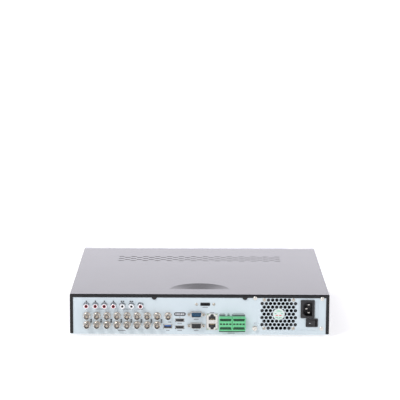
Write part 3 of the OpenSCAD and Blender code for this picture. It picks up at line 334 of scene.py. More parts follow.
moulded("black_plastic", (0.011, 0.011, 0.012), (0.020, 0.020, 0.022), (0.38, 0.52))
moulded("chip_plastic", (0.014, 0.014, 0.016), (0.026, 0.026, 0.028), (0.45, 0.6))
moulded("insulator", (0.70, 0.68, 0.62), (0.80, 0.79, 0.74), (0.35, 0.5), (0.3, 0.004), 4,
    Subsurface_Weight=0.1)
moulded("red_plastic", (0.36, 0.010, 0.022), (0.50, 0.020, 0.040), (0.25, 0.38), (0.3, 0.004), 4)
moulded("white_plastic", (0.78, 0.78, 0.76), (0.86, 0.86, 0.85), (0.25, 0.38), (0.3, 0.004), 4)
moulded("blue_plastic", (0.012, 0.085, 0.33), (0.022, 0.13, 0.44), (0.3, 0.42), (0.3, 0.006), 6)
moulded("serial_blue", (0.030, 0.125, 0.240), (0.042, 0.155, 0.290), (0.35, 0.5), (0.3, 0.006), 6)
moulded("socket_core", (0.80, 0.75, 0.69), (0.86, 0.81, 0.75), (0.4, 0.55), (0.3, 0.005), 4)
moulded("green_plastic", (0.115, 0.49, 0.215), (0.14, 0.56, 0.26), (0.3, 0.42), (0.4, 0.008), 6)
moulded("label_paper", (0.60, 0.68, 0.65), (0.66, 0.74, 0.71), (0.55, 0.7), (0.15, 0.004), 5)
moulded("supply_blocks", (0.015, 0.015, 0.02), (0.05, 0.05, 0.06), (0.35, 0.55), (0.5, 0.006), 18)
moulded("lead_insulation", (0.25, 0.012, 0.015), (0.36, 0.02, 0.024), (0.4, 0.52), (0.5, 0.006), 10)
moulded("key_plastic", (0.16, 0.163, 0.17), (0.19, 0.193, 0.20), (0.42, 0.52), (0.25, 0.006), 15)
moulded("fascia_plastic", (0.0045, 0.0045, 0.005), (0.0065, 0.0065, 0.007), (0.06, 0.13),
    (6, 0.004), 40, Coat_Weight=0.5, Coat_Roughness=0.05)
moulded("window_plastic", (0.006, 0.0012, 0.0016), (0.014, 0.002, 0.003), (0.05, 0.10), (8, 0.004),
    20, Coat_Weight=0.6, Coat_Roughness=0.04)
moulded("light_pipe", (0.20, 0.46, 0.22), (0.34, 0.62, 0.34), (0.2, 0.3), (0.4, 0.004), 3,
    Transmission_Weight=0.3, Subsurface_Weight=0.2)
moulded("rubber", (0.016, 0.016, 0.017), (0.030, 0.030, 0.031), (0.75, 0.9), (0.25, 0.015), 5)

tree, shader, place = surface("bezel_plastic", (0.42, 0.43, 0.45), (0.47, 0.48, 0.50), (0.30, 0.38),
    0.65, (0.3, 0.004), 70)
flakes = add_node(tree, "TexVoronoi", Vector=place, Scale=1 / (FLAKE * MM))
bump(tree, shader, flakes.outputs["Distance"], 0.001, 0.4)
print("plastics:", len(finishes))

# %% [markdown]
# ### Circuit boards
# A board is glass cloth under coloured lacquer. Copper tracks stand a hair proud beneath it and
# look a little lighter. Bands cut out of one turned wave pattern make believable tracks, and a
# fine brick pattern gives the weave.

# %% Lacquer the circuit boards
def laminate(name, base, track):
    tree, shader, place = new_finish(name, roughness=0.3)
    kinked = stretched(tree, place, (1, 1, 1), (0, 0, 0.785))
    lines = add_node(tree, "TexWave", Vector=kinked, Scale=160, Distortion=6, Detail=0)
    tint = ramp(tree, lines.outputs["Fac"], [(0.62, base), (0.68, track)])
    tree.links.new(tint, shader.inputs["Base Color"])
    bump(tree, shader, lines.outputs["Fac"], 0.03, 0.4)
    weave = add_node(tree, "TexBrick", Vector=place, Scale=900)
    bump(tree, shader, weave.outputs["Fac"], 0.01, 0.4)


laminate("board_laminate", (0.006, 0.075, 0.03), (0.012, 0.13, 0.05))
laminate("supply_laminate", (0.34, 0.25, 0.09), (0.46, 0.36, 0.16))

# %% Hand the finishes to the CAD parts
# These parts share a slot with others, and look a little different from them.
special = {"serial_insert": "serial_blue", "esata_screws": "zinc_screw", "fan_screws": "zinc_screw",
    "jackscrews": "zinc_screw"}
for name, node in nodes.items():
    for holder in node.material_slots:
        holder.material = finishes[special.get(name, holder.material.name)]
print("finished", len(nodes), "parts with", len(finishes), "finishes")

# %% [markdown]
# ## Modelling tools
# Every new part below starts from a primitive and is shaped in edit mode. An operator acts on all
# that is selected, so each tool first deselects everything. Three starts cover most turned and
# moulded parts: a circle that is extruded and scaled step by step, as on a lathe, a plate that is
# cut from a plane, and a block whose edges are rounded.

# %% Select, place and shape
def nothing_selected():
    if bpy.context.mode != "OBJECT":
        bpy.ops.object.mode_set(mode="OBJECT")
    bpy.ops.object.select_all(action="DESELECT")


def only(*pieces):
    """Selects these objects and nothing else; the first one is active."""
    nothing_selected()
    for piece in pieces:
        piece.select_set(True)
    bpy.context.view_layer.objects.active = pieces[0]


def edit(piece):
    only(piece)
    bpy.ops.object.mode_set(mode="EDIT")
    bpy.ops.mesh.select_mode(type="VERT")


def done():
    bpy.ops.object.mode_set(mode="OBJECT")
    return bpy.context.object


def pick(kind, test):
    """In edit mode, selects only the faces, edges or verts that pass a test."""
    bpy.ops.mesh.select_mode(type={"faces": "FACE", "edges": "EDGE", "verts": "VERT"}[kind])
    bpy.ops.mesh.select_all(action="DESELECT")
    work = bmesh.from_edit_mesh(bpy.context.edit_object.data)
    for part in getattr(work, kind):
        if test(part):
            part.select = True
    work.select_flush_mode()
    bmesh.update_edit_mesh(bpy.context.edit_object.data)


def pick_all():
    bpy.ops.mesh.select_all(action="SELECT")


def face_outward():
    """In edit mode, selects everything and turns its faces outward."""
    pick_all()
    bpy.ops.mesh.normals_make_consistent(inside=False)


def extrude(rise):
    bpy.ops.mesh.extrude_region_move(TRANSFORM_OT_translate={"value": (0, 0, rise * MM)})


def raise_by(rise):
    bpy.ops.transform.translate(value=(0, 0, rise * MM))


def bevel(offset, segments, affect="EDGES"):
    bpy.ops.mesh.bevel(offset=offset * MM, segments=segments, affect=affect)


def middle(part):
    """The middle of a face, edge or vertex, in metres."""
    corners = [v.co for v in part.verts] if hasattr(part, "verts") else [part.co]
    return sum(corners, Vector()) / len(corners)


def apply_place(piece):
    only(piece)
    bpy.ops.object.transform_apply(location=True, rotation=True, scale=True)
    return piece


def turned(name, profile, sides=32, solid=False, ring=False):
    """Turns a profile of (radius, height) steps, in millimetres, about the z axis. A ring's
    profile is closed back to its start."""
    nothing_selected()
    if ring:
        profile = [*profile, profile[0]]
    radius, height = profile[0]
    bpy.ops.mesh.primitive_circle_add(vertices=sides, radius=radius * MM,
        location=(0, 0, height * MM), fill_type="NGON" if solid else "NOTHING")
    piece = apply_place(bpy.context.object)
    piece.name = name
    edit(piece)
    pick_all()
    for (r0, z0), (r1, z1) in zip(profile, profile[1:]):
        extrude(z1 - z0)
        if r1 != r0:
            bpy.ops.transform.resize(value=(r1 / r0, r1 / r0, 1))
    pick_all()
    if ring:
        bpy.ops.mesh.remove_doubles(threshold=0.002 * MM)
    bpy.ops.mesh.normals_make_consistent(inside=False)
    return done()


def plate(name, width, height, low=0.0, high=1.0, corner=0.0, steps=4):
    """A plate centred on the z axis, cut from a plane, with rounded corners."""
    nothing_selected()
    bpy.ops.mesh.primitive_plane_add(size=1, location=(0, 0, low * MM))
    piece = bpy.context.object
    piece.name = name
    piece.scale = (width * MM, height * MM, 1)
    apply_place(piece)
    edit(piece)
    pick_all()
    if corner:
        bevel(corner, steps, "VERTICES")
    pick_all()
    extrude(high - low)
    face_outward()
    return done()


def block(name, low, high, rounding=0.0, steps=2):
    """A block between two corners, in millimetres, with its edges rounded."""
    nothing_selected()
    low, high = Vector(low) * MM, Vector(high) * MM
    bpy.ops.mesh.primitive_cube_add(size=1, location=(low + high) / 2)
    piece = bpy.context.object
    piece.name = name
    piece.scale = high - low
    apply_place(piece)
    if rounding:
        edit(piece)
        pick_all()
        bevel(rounding, steps)
        done()
    return piece


def modified(piece, kind, **settings):
    """Adds a modifier and applies it."""
    only(piece)
    bpy.ops.object.modifier_add(type=kind)
    modifier = piece.modifiers[-1]
    for name, value in settings.items():
        setattr(modifier, name, value)
    bpy.ops.object.modifier_apply(modifier=modifier.name)
    return piece


def cut(piece, cutter, operation="DIFFERENCE"):
    """Cuts a solid out of a piece, or adds it, and removes the cutter."""
    modified(piece, "BOOLEAN", object=cutter, operation=operation, solver="EXACT")
    bpy.data.objects.remove(cutter)
    return piece


def soften(piece, above, offset, segments=3):
    """Rounds those edges of a piece that lie above a height, in millimetres."""
    edit(piece)
    pick("edges", lambda e: all(v.co.z > above * MM for v in e.verts))
    bevel(offset, segments)
    return done()


def sliced(piece, y, low_side=True):
    """Slices a piece flat across y, in millimetres, keeps one side and closes the cut."""
    edit(piece)
    pick_all()
    bpy.ops.mesh.bisect(plane_co=(0, y * MM, 0), plane_no=(0, 1, 0), use_fill=True,
        clear_outer=low_side, clear_inner=not low_side)
    return done()


def mm(x, y, z):
    """A spot or a step given in millimetres."""
    return Vector((x, y, z)) * MM


def spin(degrees, axis):
    return Matrix.Rotation(math.radians(degrees), 4, axis)


def moved(piece, spot=(0, 0, 0), turn=Matrix.Identity(4)):
    """Puts a finished shape at its spot, in metres, and applies the place to its mesh."""
    piece.matrix_world = Matrix.Translation(spot) @ turn
    return apply_place(piece)


def copies_of(piece, places):
    """Copies a shape to every (spot, turn), each with its own mesh, and removes the shape."""
    copies = []
    for spot, turn in places:
        twin = piece.copy()
        twin.data = piece.data.copy()
        bpy.context.scene.collection.objects.link(twin)
        copies.append(moved(twin, spot, turn))
    bpy.data.objects.remove(piece)
    return copies


def repeated(piece, name, spots, turn=Matrix.Identity(4)):
    """Copies a shape to every spot and joins the copies."""
    return joined(name, *copies_of(piece, [(spot, turn) for spot in spots]))


def joined(name, *pieces):
    only(*pieces)
    if len(pieces) > 1:
        bpy.ops.object.join()
    pieces[0].name = name
    return pieces[0]


def complete(piece, slot, body="root", stands_for=(), angle=40, weighted=False, finish=None):
    """Smooths a piece, gives it its finish and fixes it to its body."""
    only(piece)
    bpy.ops.object.shade_smooth_by_angle(angle=math.radians(angle), keep_sharp_edges=True)
    if weighted:
        modified(piece, "WEIGHTED_NORMAL", keep_sharp=True)
    # A piece with two or more finishes was given them where it was modelled.
    if len(piece.data.materials) < 2:
        piece.data.materials.clear()
        piece.data.materials.append(finishes[finish or slot])
    if stands_for:
        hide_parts(*stands_for)
    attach(piece, body)
    print(f"{piece.name}: {len(piece.data.polygons)} faces on {body}")
    return piece


# %% [markdown]
# ## Places
# A part with its own front, such as a socket, is easiest to model lying on its back, its front
# towards +z. Two turns bring such a part to the connector panel or to the front bezel. The middles
# of repeated parts are read off the CAD solids, by splitting a CAD part into its separate shells.

# %% Turn parts to the panel and find the CAD solids
TO_PANEL = Matrix(((-1, 0, 0, 0), (0, 0, 1, 0), (0, 1, 0, 0), (0, 0, 0, 1)))
TO_FRONT = Matrix(((1, 0, 0, 0), (0, 0, -1, 0), (0, 1, 0, 0), (0, 0, 0, 1)))
case_low, case_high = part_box("top_cover")
PANEL_Y, CASE_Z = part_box("rear_panel")[1].y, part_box("feet")[1].z


def solids(name):
    """The boxes of a CAD part's separate solids, from left to right seen from behind."""
    work = bmesh.new()
    work.from_mesh(nodes[name].data)
    bmesh.ops.remove_doubles(work, verts=work.verts, dist=0.001 * MM)
    boxes, seen = [], set()
    for start in work.verts:
        if start in seen:
            continue
        shell, queue = [], [start]
        seen.add(start)
        while queue:
            corner = queue.pop()
            shell.append(corner.co.copy())
            for line in corner.link_edges:
                other = line.other_vert(corner)
                if other not in seen:
                    seen.add(other)
                    queue.append(other)
        boxes.append(tuple(Vector(pick_end(v[axis] for v in shell) for axis in range(3))
            for pick_end in (min, max)))
    work.free()
    return sorted(boxes, key=lambda ends: (-round((ends[0].x + ends[1].x) / 2, 4), -ends[0].z))


def middle_of(ends):
    """The middle of a box."""
    return Vector([(low + high) / 2 for low, high in zip(*ends)])


def on_panel(ends, out=0.0):
    """The panel spot under the middle of a box."""
    spot = middle_of(ends)
    spot.y = PANEL_Y + out * MM
    return spot


def panel_spot(across, up, out=0.0):
    """A panel spot from its distance to the case's left edge, seen from behind, and its height."""
    return Vector((case_high.x - across * MM, PANEL_Y + out * MM, CASE_Z + up * MM))


def to_panel(piece, place):
    """Sets a piece on the panel, at a spot or under the middle of a box."""
    return moved(piece, place if isinstance(place, Vector) else on_panel(place), TO_PANEL)


print("panel face at", round(PANEL_Y / MM, 2), "mm; case starts at", round(CASE_Z / MM, 2), "mm")

# %% [markdown]
# ## Cover
# The cover is one sheet, folded down at both sides and folded in again round the connector panel.
# A cube with its open sides deleted gives the folds, insets on its rear face leave the rim, and a
# bevel rounds each fold to the radius of the press brake. Solidify then gives the sheet its
# thickness. The shallow thumb recess is a sliced cone, and slots are cut with one joined cutter.

# %% Fold the cover
RIM, HEM, FOLD_R, SHEET = 5.7, 2.7, 1.6, 1.0
STEP_W, STEP_SINK = 0.35, 0.3
TAB_FROM_MIDDLE, TAB_R, TAB_DROP = 77.7, 4.6, 3.7
top_z, rear_y = case_high.z / MM, case_high.y / MM

cover = block("cover_shell", case_low / MM, case_high / MM)
edit(cover)
pick("faces", lambda f: f.normal.z < -0.9 or f.normal.y < -0.9)
bpy.ops.mesh.delete(type="FACE")
pick("faces", lambda f: f.normal.y > 0.9)
for width, sink in ((HEM, 0), (STEP_W, STEP_SINK), (RIM - HEM - STEP_W, 0)):
    bpy.ops.mesh.inset(thickness=width * MM, use_boundary=False, use_even_offset=True)
    bpy.ops.transform.translate(value=(0, -sink * MM, 0))
bpy.ops.mesh.delete(type="FACE")


def is_fold(line):
    """True for an edge on two of the cover's outer planes."""
    spot = middle(line)
    on = [abs(abs(spot.x) - case_high.x) < 1e-5, abs(spot.z - case_high.z) < 1e-5,
        abs(spot.y - case_high.y) < 1e-5]
    return sum(on) == 2


pick("edges", is_fold)
bevel(FOLD_R, 4)
face_outward()
done()
modified(cover, "SOLIDIFY", thickness=SHEET * MM, offset=-1, use_even_offset=True)
print("folded cover has", len(cover.data.polygons), "faces")

# %% Add the two screw tabs and press the thumb recess
RECESS_R, RECESS_FROM_REAR, RECESS_Y, RECESS_SINK = 53, 39, 45, 4


def recess_cone(drop, wall):
    """The recess as a solid: a blunt cone, sliced off flat on its rear side."""
    slope = RECESS_SINK / RECESS_Y
    flat_y = rear_y - RECESS_FROM_REAR
    low_r = (RECESS_R - RECESS_Y) / 2
    cone = turned("recess_cone", [(low_r, -slope * (RECESS_R - low_r)), (RECESS_R, 0),
        (RECESS_R, 0.5)], sides=128, solid=True)
    moved(cone, mm(0, flat_y - RECESS_Y + RECESS_R, top_z - drop))
    edit(sliced(cone, flat_y + wall))
    face_outward()
    return done()


tab = turned("tab", [(TAB_R, -SHEET), (TAB_R, -0.15), (TAB_R - 0.15, 0)], sides=40, solid=True)
sliced(tab, TAB_DROP - TAB_R)
tab_z = top_z - RIM - TAB_DROP + TAB_R
tabs = repeated(tab, "tabs", [mm(s * TAB_FROM_MIDDLE, rear_y - 0.02, tab_z) for s in (-1, 1)],
    TO_PANEL)
cut(cover, tabs, "UNION")
cut(cover, recess_cone(SHEET, SHEET), "UNION")
cut(cover, recess_cone(0, 0))
print("cover with tabs and recess has", len(cover.data.polygons), "faces")

# %% Cut the vents and screw holes
SLOT_L, SLOT_W, SLOT_PITCH, SLOT_ROW, SLOTS_FROM_REAR = 10.6, 3.4, 22.5, 9, 268
SLOT_ROWS, SLOTS_IN_ROW = 5, 14
SIDE_SLOT_L, SIDE_SLOT_W, SIDE_SLOT_PITCH, SIDE_SLOTS = 24, 3, 9, 12
SIDE_SLOTS_START, SIDE_SLOTS_UP, SIDE_HOLES_UP = 95, 43.25, 10
KEYS_PROUD = 1.2
THROUGH = 226  # half the length of a cutter that passes through both sides

slot = plate("slot", SLOT_L, SLOT_W, -3, 3, corner=SLOT_W / 2 - 0.01, steps=4)
slot_spots = []
for row in range(SLOT_ROWS):
    count = SLOTS_IN_ROW - row % 2
    slot_y = rear_y - SLOTS_FROM_REAR - row * SLOT_ROW
    slot_spots += [mm((i - (count - 1) / 2) * SLOT_PITCH, slot_y, top_z) for i in range(count)]
slots = repeated(slot, "slots", slot_spots)
side_slot = plate("side_slot", SIDE_SLOT_L, SIDE_SLOT_W, -THROUGH, THROUGH, corner=1.45, steps=4)
front_y, base_z = cad_low.y / MM + KEYS_PROUD, CASE_Z / MM
side_spots = [mm(0, front_y + SIDE_SLOTS_START + SIDE_SLOT_PITCH * i, base_z + SIDE_SLOTS_UP)
    for i in range(SIDE_SLOTS)]
holes = [repeated(side_slot, "side_slots", side_spots, spin(90, "Y"))]
for distance, radius in ((60, 1.4), (195, 1.4), (330, 1.4), (25, 1.9), (45, 1.9)):
    hole = turned("hole", [(radius, -THROUGH), (radius, THROUGH)], sides=24, solid=True)
    holes.append(moved(hole, mm(0, front_y + distance, base_z + SIDE_HOLES_UP), spin(90, "Y")))
for ends in solids("panel_screws"):
    notch = turned("notch", [(3.6, -2), (3.6, 4)], sides=32, solid=True)
    holes.append(to_panel(notch, ends))
for s in (-1, 1):
    hole = turned("hole", [(1.5, -2), (1.5, 4)], sides=24, solid=True)
    holes.append(to_panel(hole, mm(s * TAB_FROM_MIDDLE, PANEL_Y / MM, top_z - RIM - 0.4)))
cut(cover, joined("cutter", slots, *holes))


def on_recess_edge(line):
    """True where the flat top meets the gently sloping recess."""
    tilts = [abs(face.normal.z) for face in line.link_faces]
    return len(tilts) == 2 and max(tilts) > 0.9999 and 0.9 < min(tilts) < 0.9985


edit(cover)
pick("edges", on_recess_edge)
bpy.ops.mesh.mark_sharp()
done()
complete(cover, "cover_paint", stands_for=["top_cover"], angle=25, weighted=True)

# %% [markdown]
# ## Connector panel
# The CAD panel has its cut-outs already. On the real sheet, printed legends and frames sort the
# sockets into groups, and three pressed ridges stiffen the right half. Lettering is left out: each
# legend is a plain dash, arc or box. Prints are a few hundredths of a millimetre proud, so that
# they read as ink and catch no light at their edges.

# %% Print the legends
INK = 0.05  # thickness
PRINT_GAP = 0.005
ARC_R, ARC_W, ARC_FROM = 5.0, 0.65, 1.2
TAG_UP = 57.6


def dash(across, up, width, height, corner=0.3):
    """A flat printed mark with its middle at a panel place."""
    mark = plate("dash", width, height, 0, INK, corner=min(corner, height * 0.45), steps=2)
    return to_panel(mark, panel_spot(across, up, PRINT_GAP))


def frame_line(left, low, right, high, line=0.35):
    """A printed frame: a plate whose face is inset and deleted."""
    box = plate("frame_line", right - left, high - low, 0, INK, corner=1.5)
    edit(box)
    pick("faces", lambda f: abs(f.normal.z) > 0.9)
    bpy.ops.mesh.inset(thickness=line * MM)
    bpy.ops.mesh.bridge_edge_loops()
    done()
    return to_panel(box, panel_spot((left + right) / 2, (low + high) / 2, PRINT_GAP))


def across_of(ends):
    """How far a box's middle is from the case's left edge, seen from behind."""
    return (case_high.x - middle_of(ends).x) / MM


rca = solids("rca_shells")
bnc = solids("bnc_shells")
lower = [ends for ends in bnc if middle_of(ends).z < CASE_Z + 24 * MM]
grey_marks, dark_marks = [], []
for index, ends in enumerate(rca):
    across = across_of(ends)
    arc = turned("arc", [(ARC_R, 0), (ARC_R, INK), (ARC_R + ARC_W, INK), (ARC_R + ARC_W, 0)],
        sides=40, ring=True)
    sliced(arc, ARC_FROM, low_side=False)
    dark_marks.append(to_panel(arc, on_panel(ends, PRINT_GAP)))
    if index < 4:
        dark_marks.append(dash(across, TAG_UP, 2.4, 2.4))
    elif index < 6:
        dark_marks += [dash(across + offset, TAG_UP, 2.8, 2.2) for offset in (-1.7, 1.7)]
for across, width in ((52.4, 13), (97.8, 15), (120.8, 10)):
    grey_marks.append(dash(across, 44.0, width, 1.1))
for ends in lower:
    dark_marks += [dash(across_of(ends) + 7.2, up, 2.9, 2.8) for up in (21.5, 25.0)]
faint_marks = [frame_line(22, 8.4, 161.2, 39.6), frame_line(21.7, 45.5, 84.2, 61.5),
    frame_line(84.9, 45.5, 112.6, 61.5)]
for across, up, width in ((188.5, 19.0, 8), (188.5, 6.8, 8), (232.1, 47.6, 9), (217, 6.8, 8),
        (217, 26.3, 8), (244.1, 38.6, 8), (171, 21.4, 6), (168, 6.9, 6), (89, 6.5, 13),
        (277, 2.4, 12)):
    grey_marks.append(dash(across, up, width, 1.2))
for across, width in ((261.6, 10.5), (272.2, 3.8), (289.4, 22.5)):
    dark_marks.append(dash(across, 34.2, width, 2.2, 0.3))
    grey_marks.append(dash(across, 37.3, width * 0.8, 0.7))
dark_marks.append(dash(278.6, 5.4, 44.8, 2.1, 0.3))
for step, width in ((0, 3.4), (1.1, 2.2), (2.2, 1.0)):
    grey_marks.append(dash(317.4, 20.8 - step, width, 0.4, 0.1))
dark_marks.append(dash(188.8, 35.6, 20, 6.4, 2.6))
dark_marks.append(dash(188.8, 30.6, 1.6, 1.2))
badge_dashes = [dash(188.8 + (i - 2) * 3.3, 35.6, 2.5 if i % 2 else 1.9, 2.6, 0.5)
    for i in range(5)]
for badge_dash in badge_dashes:
    badge_dash.location.y += INK * MM
    apply_place(badge_dash)

printed("legend_grey", (0.16, 0.17, 0.19), (0.22, 0.23, 0.25))
printed("legend_dark", (0.035, 0.037, 0.042), (0.06, 0.063, 0.07))
printed("legend_faint", (0.44, 0.50, 0.55), (0.50, 0.56, 0.61))
printed("legend_pale", (0.62, 0.64, 0.66), (0.72, 0.74, 0.76))
for name, marks, ink in (("panel_legends_grey", grey_marks, "grey"),
        ("panel_legends_dark", dark_marks, "dark"), ("panel_legends_faint", faint_marks, "faint"),
        ("display_badge", badge_dashes, "pale")):
    complete(joined(name, *marks), "panel_paint", finish="legend_" + ink)

# %% Press the stiffening lines
def pressed_line(start, end):
    """A low rounded ridge between two panel places."""
    (u0, v0), (u1, v1) = start, end
    ridge = plate("ridge", abs(u1 - u0) + 1.1, abs(v1 - v0) + 1.1, -0.05, 0.4, corner=0.54, steps=3)
    return to_panel(soften(ridge, 0.3, 0.35), panel_spot((u0 + u1) / 2, (v0 + v1) / 2))


ridges = [pressed_line((321, 5), (321, 26)), pressed_line((425.5, 4), (425.5, 62)),
    pressed_line((336, 7.9), (421, 7.9))]
complete(joined("panel_ridges", *ridges), "panel_paint", weighted=True)

# %% [markdown]
# ## Camera sockets
# A BNC socket is a turned brass barrel, plated with nickel. It has a collar against the panel, a
# shallow groove, a chamfered lip and a deep bore, and two bayonet lugs stand out near its mouth.
# One socket is turned from its profile, and copies go to the seventeen places.

# %% Turn the camera sockets
def with_lugs(barrel, radius, height):
    """Adds two round bayonet lugs at the sides of a barrel."""
    lugs = []
    for s in (-1, 1):
        lug = turned("lug", [(1.0, 0), (1.0, 1.1), (0.75, 1.35)], sides=16, solid=True)
        lugs.append(moved(lug, mm(s * radius, 0, height), spin(s * 90, "Y")))
    return joined(barrel.name, barrel, *lugs)


socket = turned("camera_socket", [(4.8, -1.4), (4.8, 0.1), (6.3, 0.1), (6.3, 1.15), (6.05, 1.5),
    (5.0, 1.5), (5.0, 2.6), (4.55, 2.9), (4.55, 3.5), (4.8, 3.8), (4.8, 11.7), (4.62, 12.25),
    (4.4, 12.5), (4.2, 12.5), (4.05, 12.2), (4.05, 3.5), (2.4, 3.5), (2.4, -1.4)], sides=40,
    ring=True)
# The faces inside the bore get a near-black brown finish: painted shade for the deep bore.
plated("socket_bore_shade", (0.035, 0.022, 0.014), (0.06, 0.04, 0.026), (0.35, 0.5))
for name in ("socket_nickel", "socket_bore_shade"):
    socket.data.materials.append(finishes[name])
edit(socket)
pick("faces", lambda f: middle(f).xy.length < 4.15 * MM and middle(f).z > 3 * MM)
bpy.context.object.active_material_index = 1
bpy.ops.object.material_slot_assign()
done()
socket = with_lugs(socket, 4.6, 8.5)
sockets = repeated(socket, "camera_socket_shells", [on_panel(ends) for ends in bnc], TO_PANEL)
complete(sockets, "socket_nickel", stands_for=["bnc_shells"], angle=30)
throat = turned("socket_throat", [(0.72, 3.6), (4.0, 3.6), (4.0, 7.6), (2.0, 7.8), (1.9, 9.6),
    (1.7, 9.8), (0.72, 9.8)], sides=32, ring=True)
throats = repeated(throat, "socket_throats", [on_panel(ends) for ends in bnc], TO_PANEL)
complete(throats, "insulator", stands_for=["bnc_insulators"], finish="socket_core")

# %% [markdown]
# ## Sound sockets
# A phono socket's ring is rolled sheet metal. Its mouth is folded in over the edge of the
# coloured insert, so the lip is round. The coloured insert inside stays a CAD part.

# %% Roll the phono rings
ring = turned("phono_ring", [(4.4, -1.3), (4.4, 0.3), (4.25, 0.5), (4.25, 7.1), (4.4, 7.3),
    (4.4, 7.9), (4.25, 8.25), (3.95, 8.45), (3.4, 8.5), (3.0, 8.4), (2.9, 8.1), (2.95, 7.93),
    (3.7, 7.93), (3.7, -1.3)], sides=36, ring=True)
rings = repeated(ring, "phono_rings", [on_panel(ends) for ends in rca], TO_PANEL)
complete(rings, "ring_metal", stands_for=["rca_shells"], angle=35)

# %% [markdown]
# Inside each phono insert sits a sprung metal sleeve, dark with shade. Here it is painted black, as
# painted shade. It is one more turned ring, a little wider than the hole in the insert, so that it
# frames the hole. A black disc deeper in the hole is painted shade too.

# %% Line the phono holes
# Black sleeve and black disc: painted shade in the phono hole.
sleeve = turned("phono_sleeve", [(2.05, 4), (2.05, 7.92), (1.9, 8.0), (1.5, 7.9), (1.4, 4)],
    sides=24, ring=True)
core = turned("phono_hole_painted_shade", [(1.45, 3.5), (1.45, 5.2), (1.2, 5.3)], sides=20, solid=True)
sleeves = repeated(joined("phono_sleeve", sleeve, core), "phono_sleeves_painted_shade",
    [on_panel(ends) for ends in rca], TO_PANEL)
complete(sleeves, "black_plastic")

# %% [markdown]
# ## D-shaped ports
# The serial and monitor ports share one pressed shell. A block is narrowed at its lower side, its
# four long edges are rounded, and its front face is inset and pushed in to leave a thin wall.

# %% Press the D-shaped shells
def d_shell(name):
    shell = block(name, (-9.6, -4.7, -1.3), (9.6, 4.7, 5.8))
    edit(shell)
    pick("verts", lambda v: v.co.y < 0)
    bpy.ops.transform.resize(value=(0.875, 1, 1))
    pick("edges", lambda e: abs(e.verts[0].co.z - e.verts[1].co.z) > 1 * MM)
    bevel(2.3, 4)
    pick("faces", lambda f: f.normal.z > 0.9)
    bpy.ops.mesh.inset(thickness=0.2 * MM)
    raise_by(0.12)
    bpy.ops.mesh.inset(thickness=0.35 * MM)
    extrude(-6.9)
    return done()


for port in ("serial", "vga"):
    ends = solids(port + "_shell")[0]
    collar = plate("collar", 20.6, 10.8, -1.1, -0.4, corner=1)
    shell = to_panel(joined(port + "_port_shell", d_shell("shell"), collar), ends)
    complete(shell, "tin_steel", stands_for=[port + "_shell"])

# %% [markdown]
# ## Dark mouths
# Ports look black because they are deep and their moulded cores are black. A shell alone would
# shine through, so each display port, the USB port and each network jack gets a black core that
# sits just behind its mouth, with a tongue or a comb of contacts. Each core is part black plastic
# and part painted shade, as it fills the deep open mouth.

# %% Fill the mouths
# Black cores that fill each mouth: part black plastic, part painted shade.
cores_and_shade, gold = [], []
for ends in solids("hdmi_shells"):
    spot = on_panel(ends)
    cores_and_shade.append(to_panel(block("display_core_and_shade", (-7.0, -2.4, -12), (7.0, 2.4, -0.5), 0.2), spot))
    cores_and_shade.append(to_panel(block("display_tongue", (-5.6, -0.1, -0.6), (5.6, 1.1, 0.1), 0.15), spot))
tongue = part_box("usb_tongue")
usb_spot = on_panel(tongue) - Vector((0, 0, 1.2 * MM))
cores_and_shade.append(to_panel(block("usb_core_and_shade", (-6.3, -2.7, -14), (6.3, 2.7, -0.5), 0.15), usb_spot))
for x in (-1, 1):
    for y in (-1, 1):
        ear = block("usb_ear", (6.2, 2.0, -0.4), (7.3, 3.4, 0.55), 0.12)
        ear.scale = (x, y, 1)
        ear = apply_place(ear)
        edit(ear)
        face_outward()
        cores_and_shade.append(to_panel(done(), usb_spot))
JACK_RISE, CONTACTS, CONTACT_PITCH = 6.5, 8, 1.02
JACK_BACK, JACK_FACE = -13.5, -0.25
jack_spot = on_panel(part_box("network_jacks"))
for s in (1, -1):
    turn = TO_PANEL @ spin(0 if s > 0 else 180, "Z")
    spot = jack_spot + Vector((0, 0, s * JACK_RISE * MM))
    for half, low, high in ((5.85, -3.25, 3.25), (3.15, 3.2, 5.35), (2.05, 5.3, 6.85)):
        core = block("jack_core_and_shade", (-half, low, JACK_BACK), (half, high, JACK_FACE), 0.1)
        cores_and_shade.append(moved(core, spot, turn))
    for i in range(CONTACTS):
        x = (i - (CONTACTS - 1) / 2) * CONTACT_PITCH
        gold.append(moved(block("jack_contact", (x - 0.16, -2.9, -0.3), (x + 0.16, -1.6, -0.1),
            0.06), spot, turn))
lug = block("esata_key", (-4.5, -0.1, -1.9), (4.5, 0.7, -1.2), 0.1)
cores_and_shade.append(to_panel(lug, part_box("esata_port")))
complete(joined("port_cores_and_shade", *cores_and_shade), "black_plastic")
complete(joined("jack_contacts", *gold), "contact_gold")
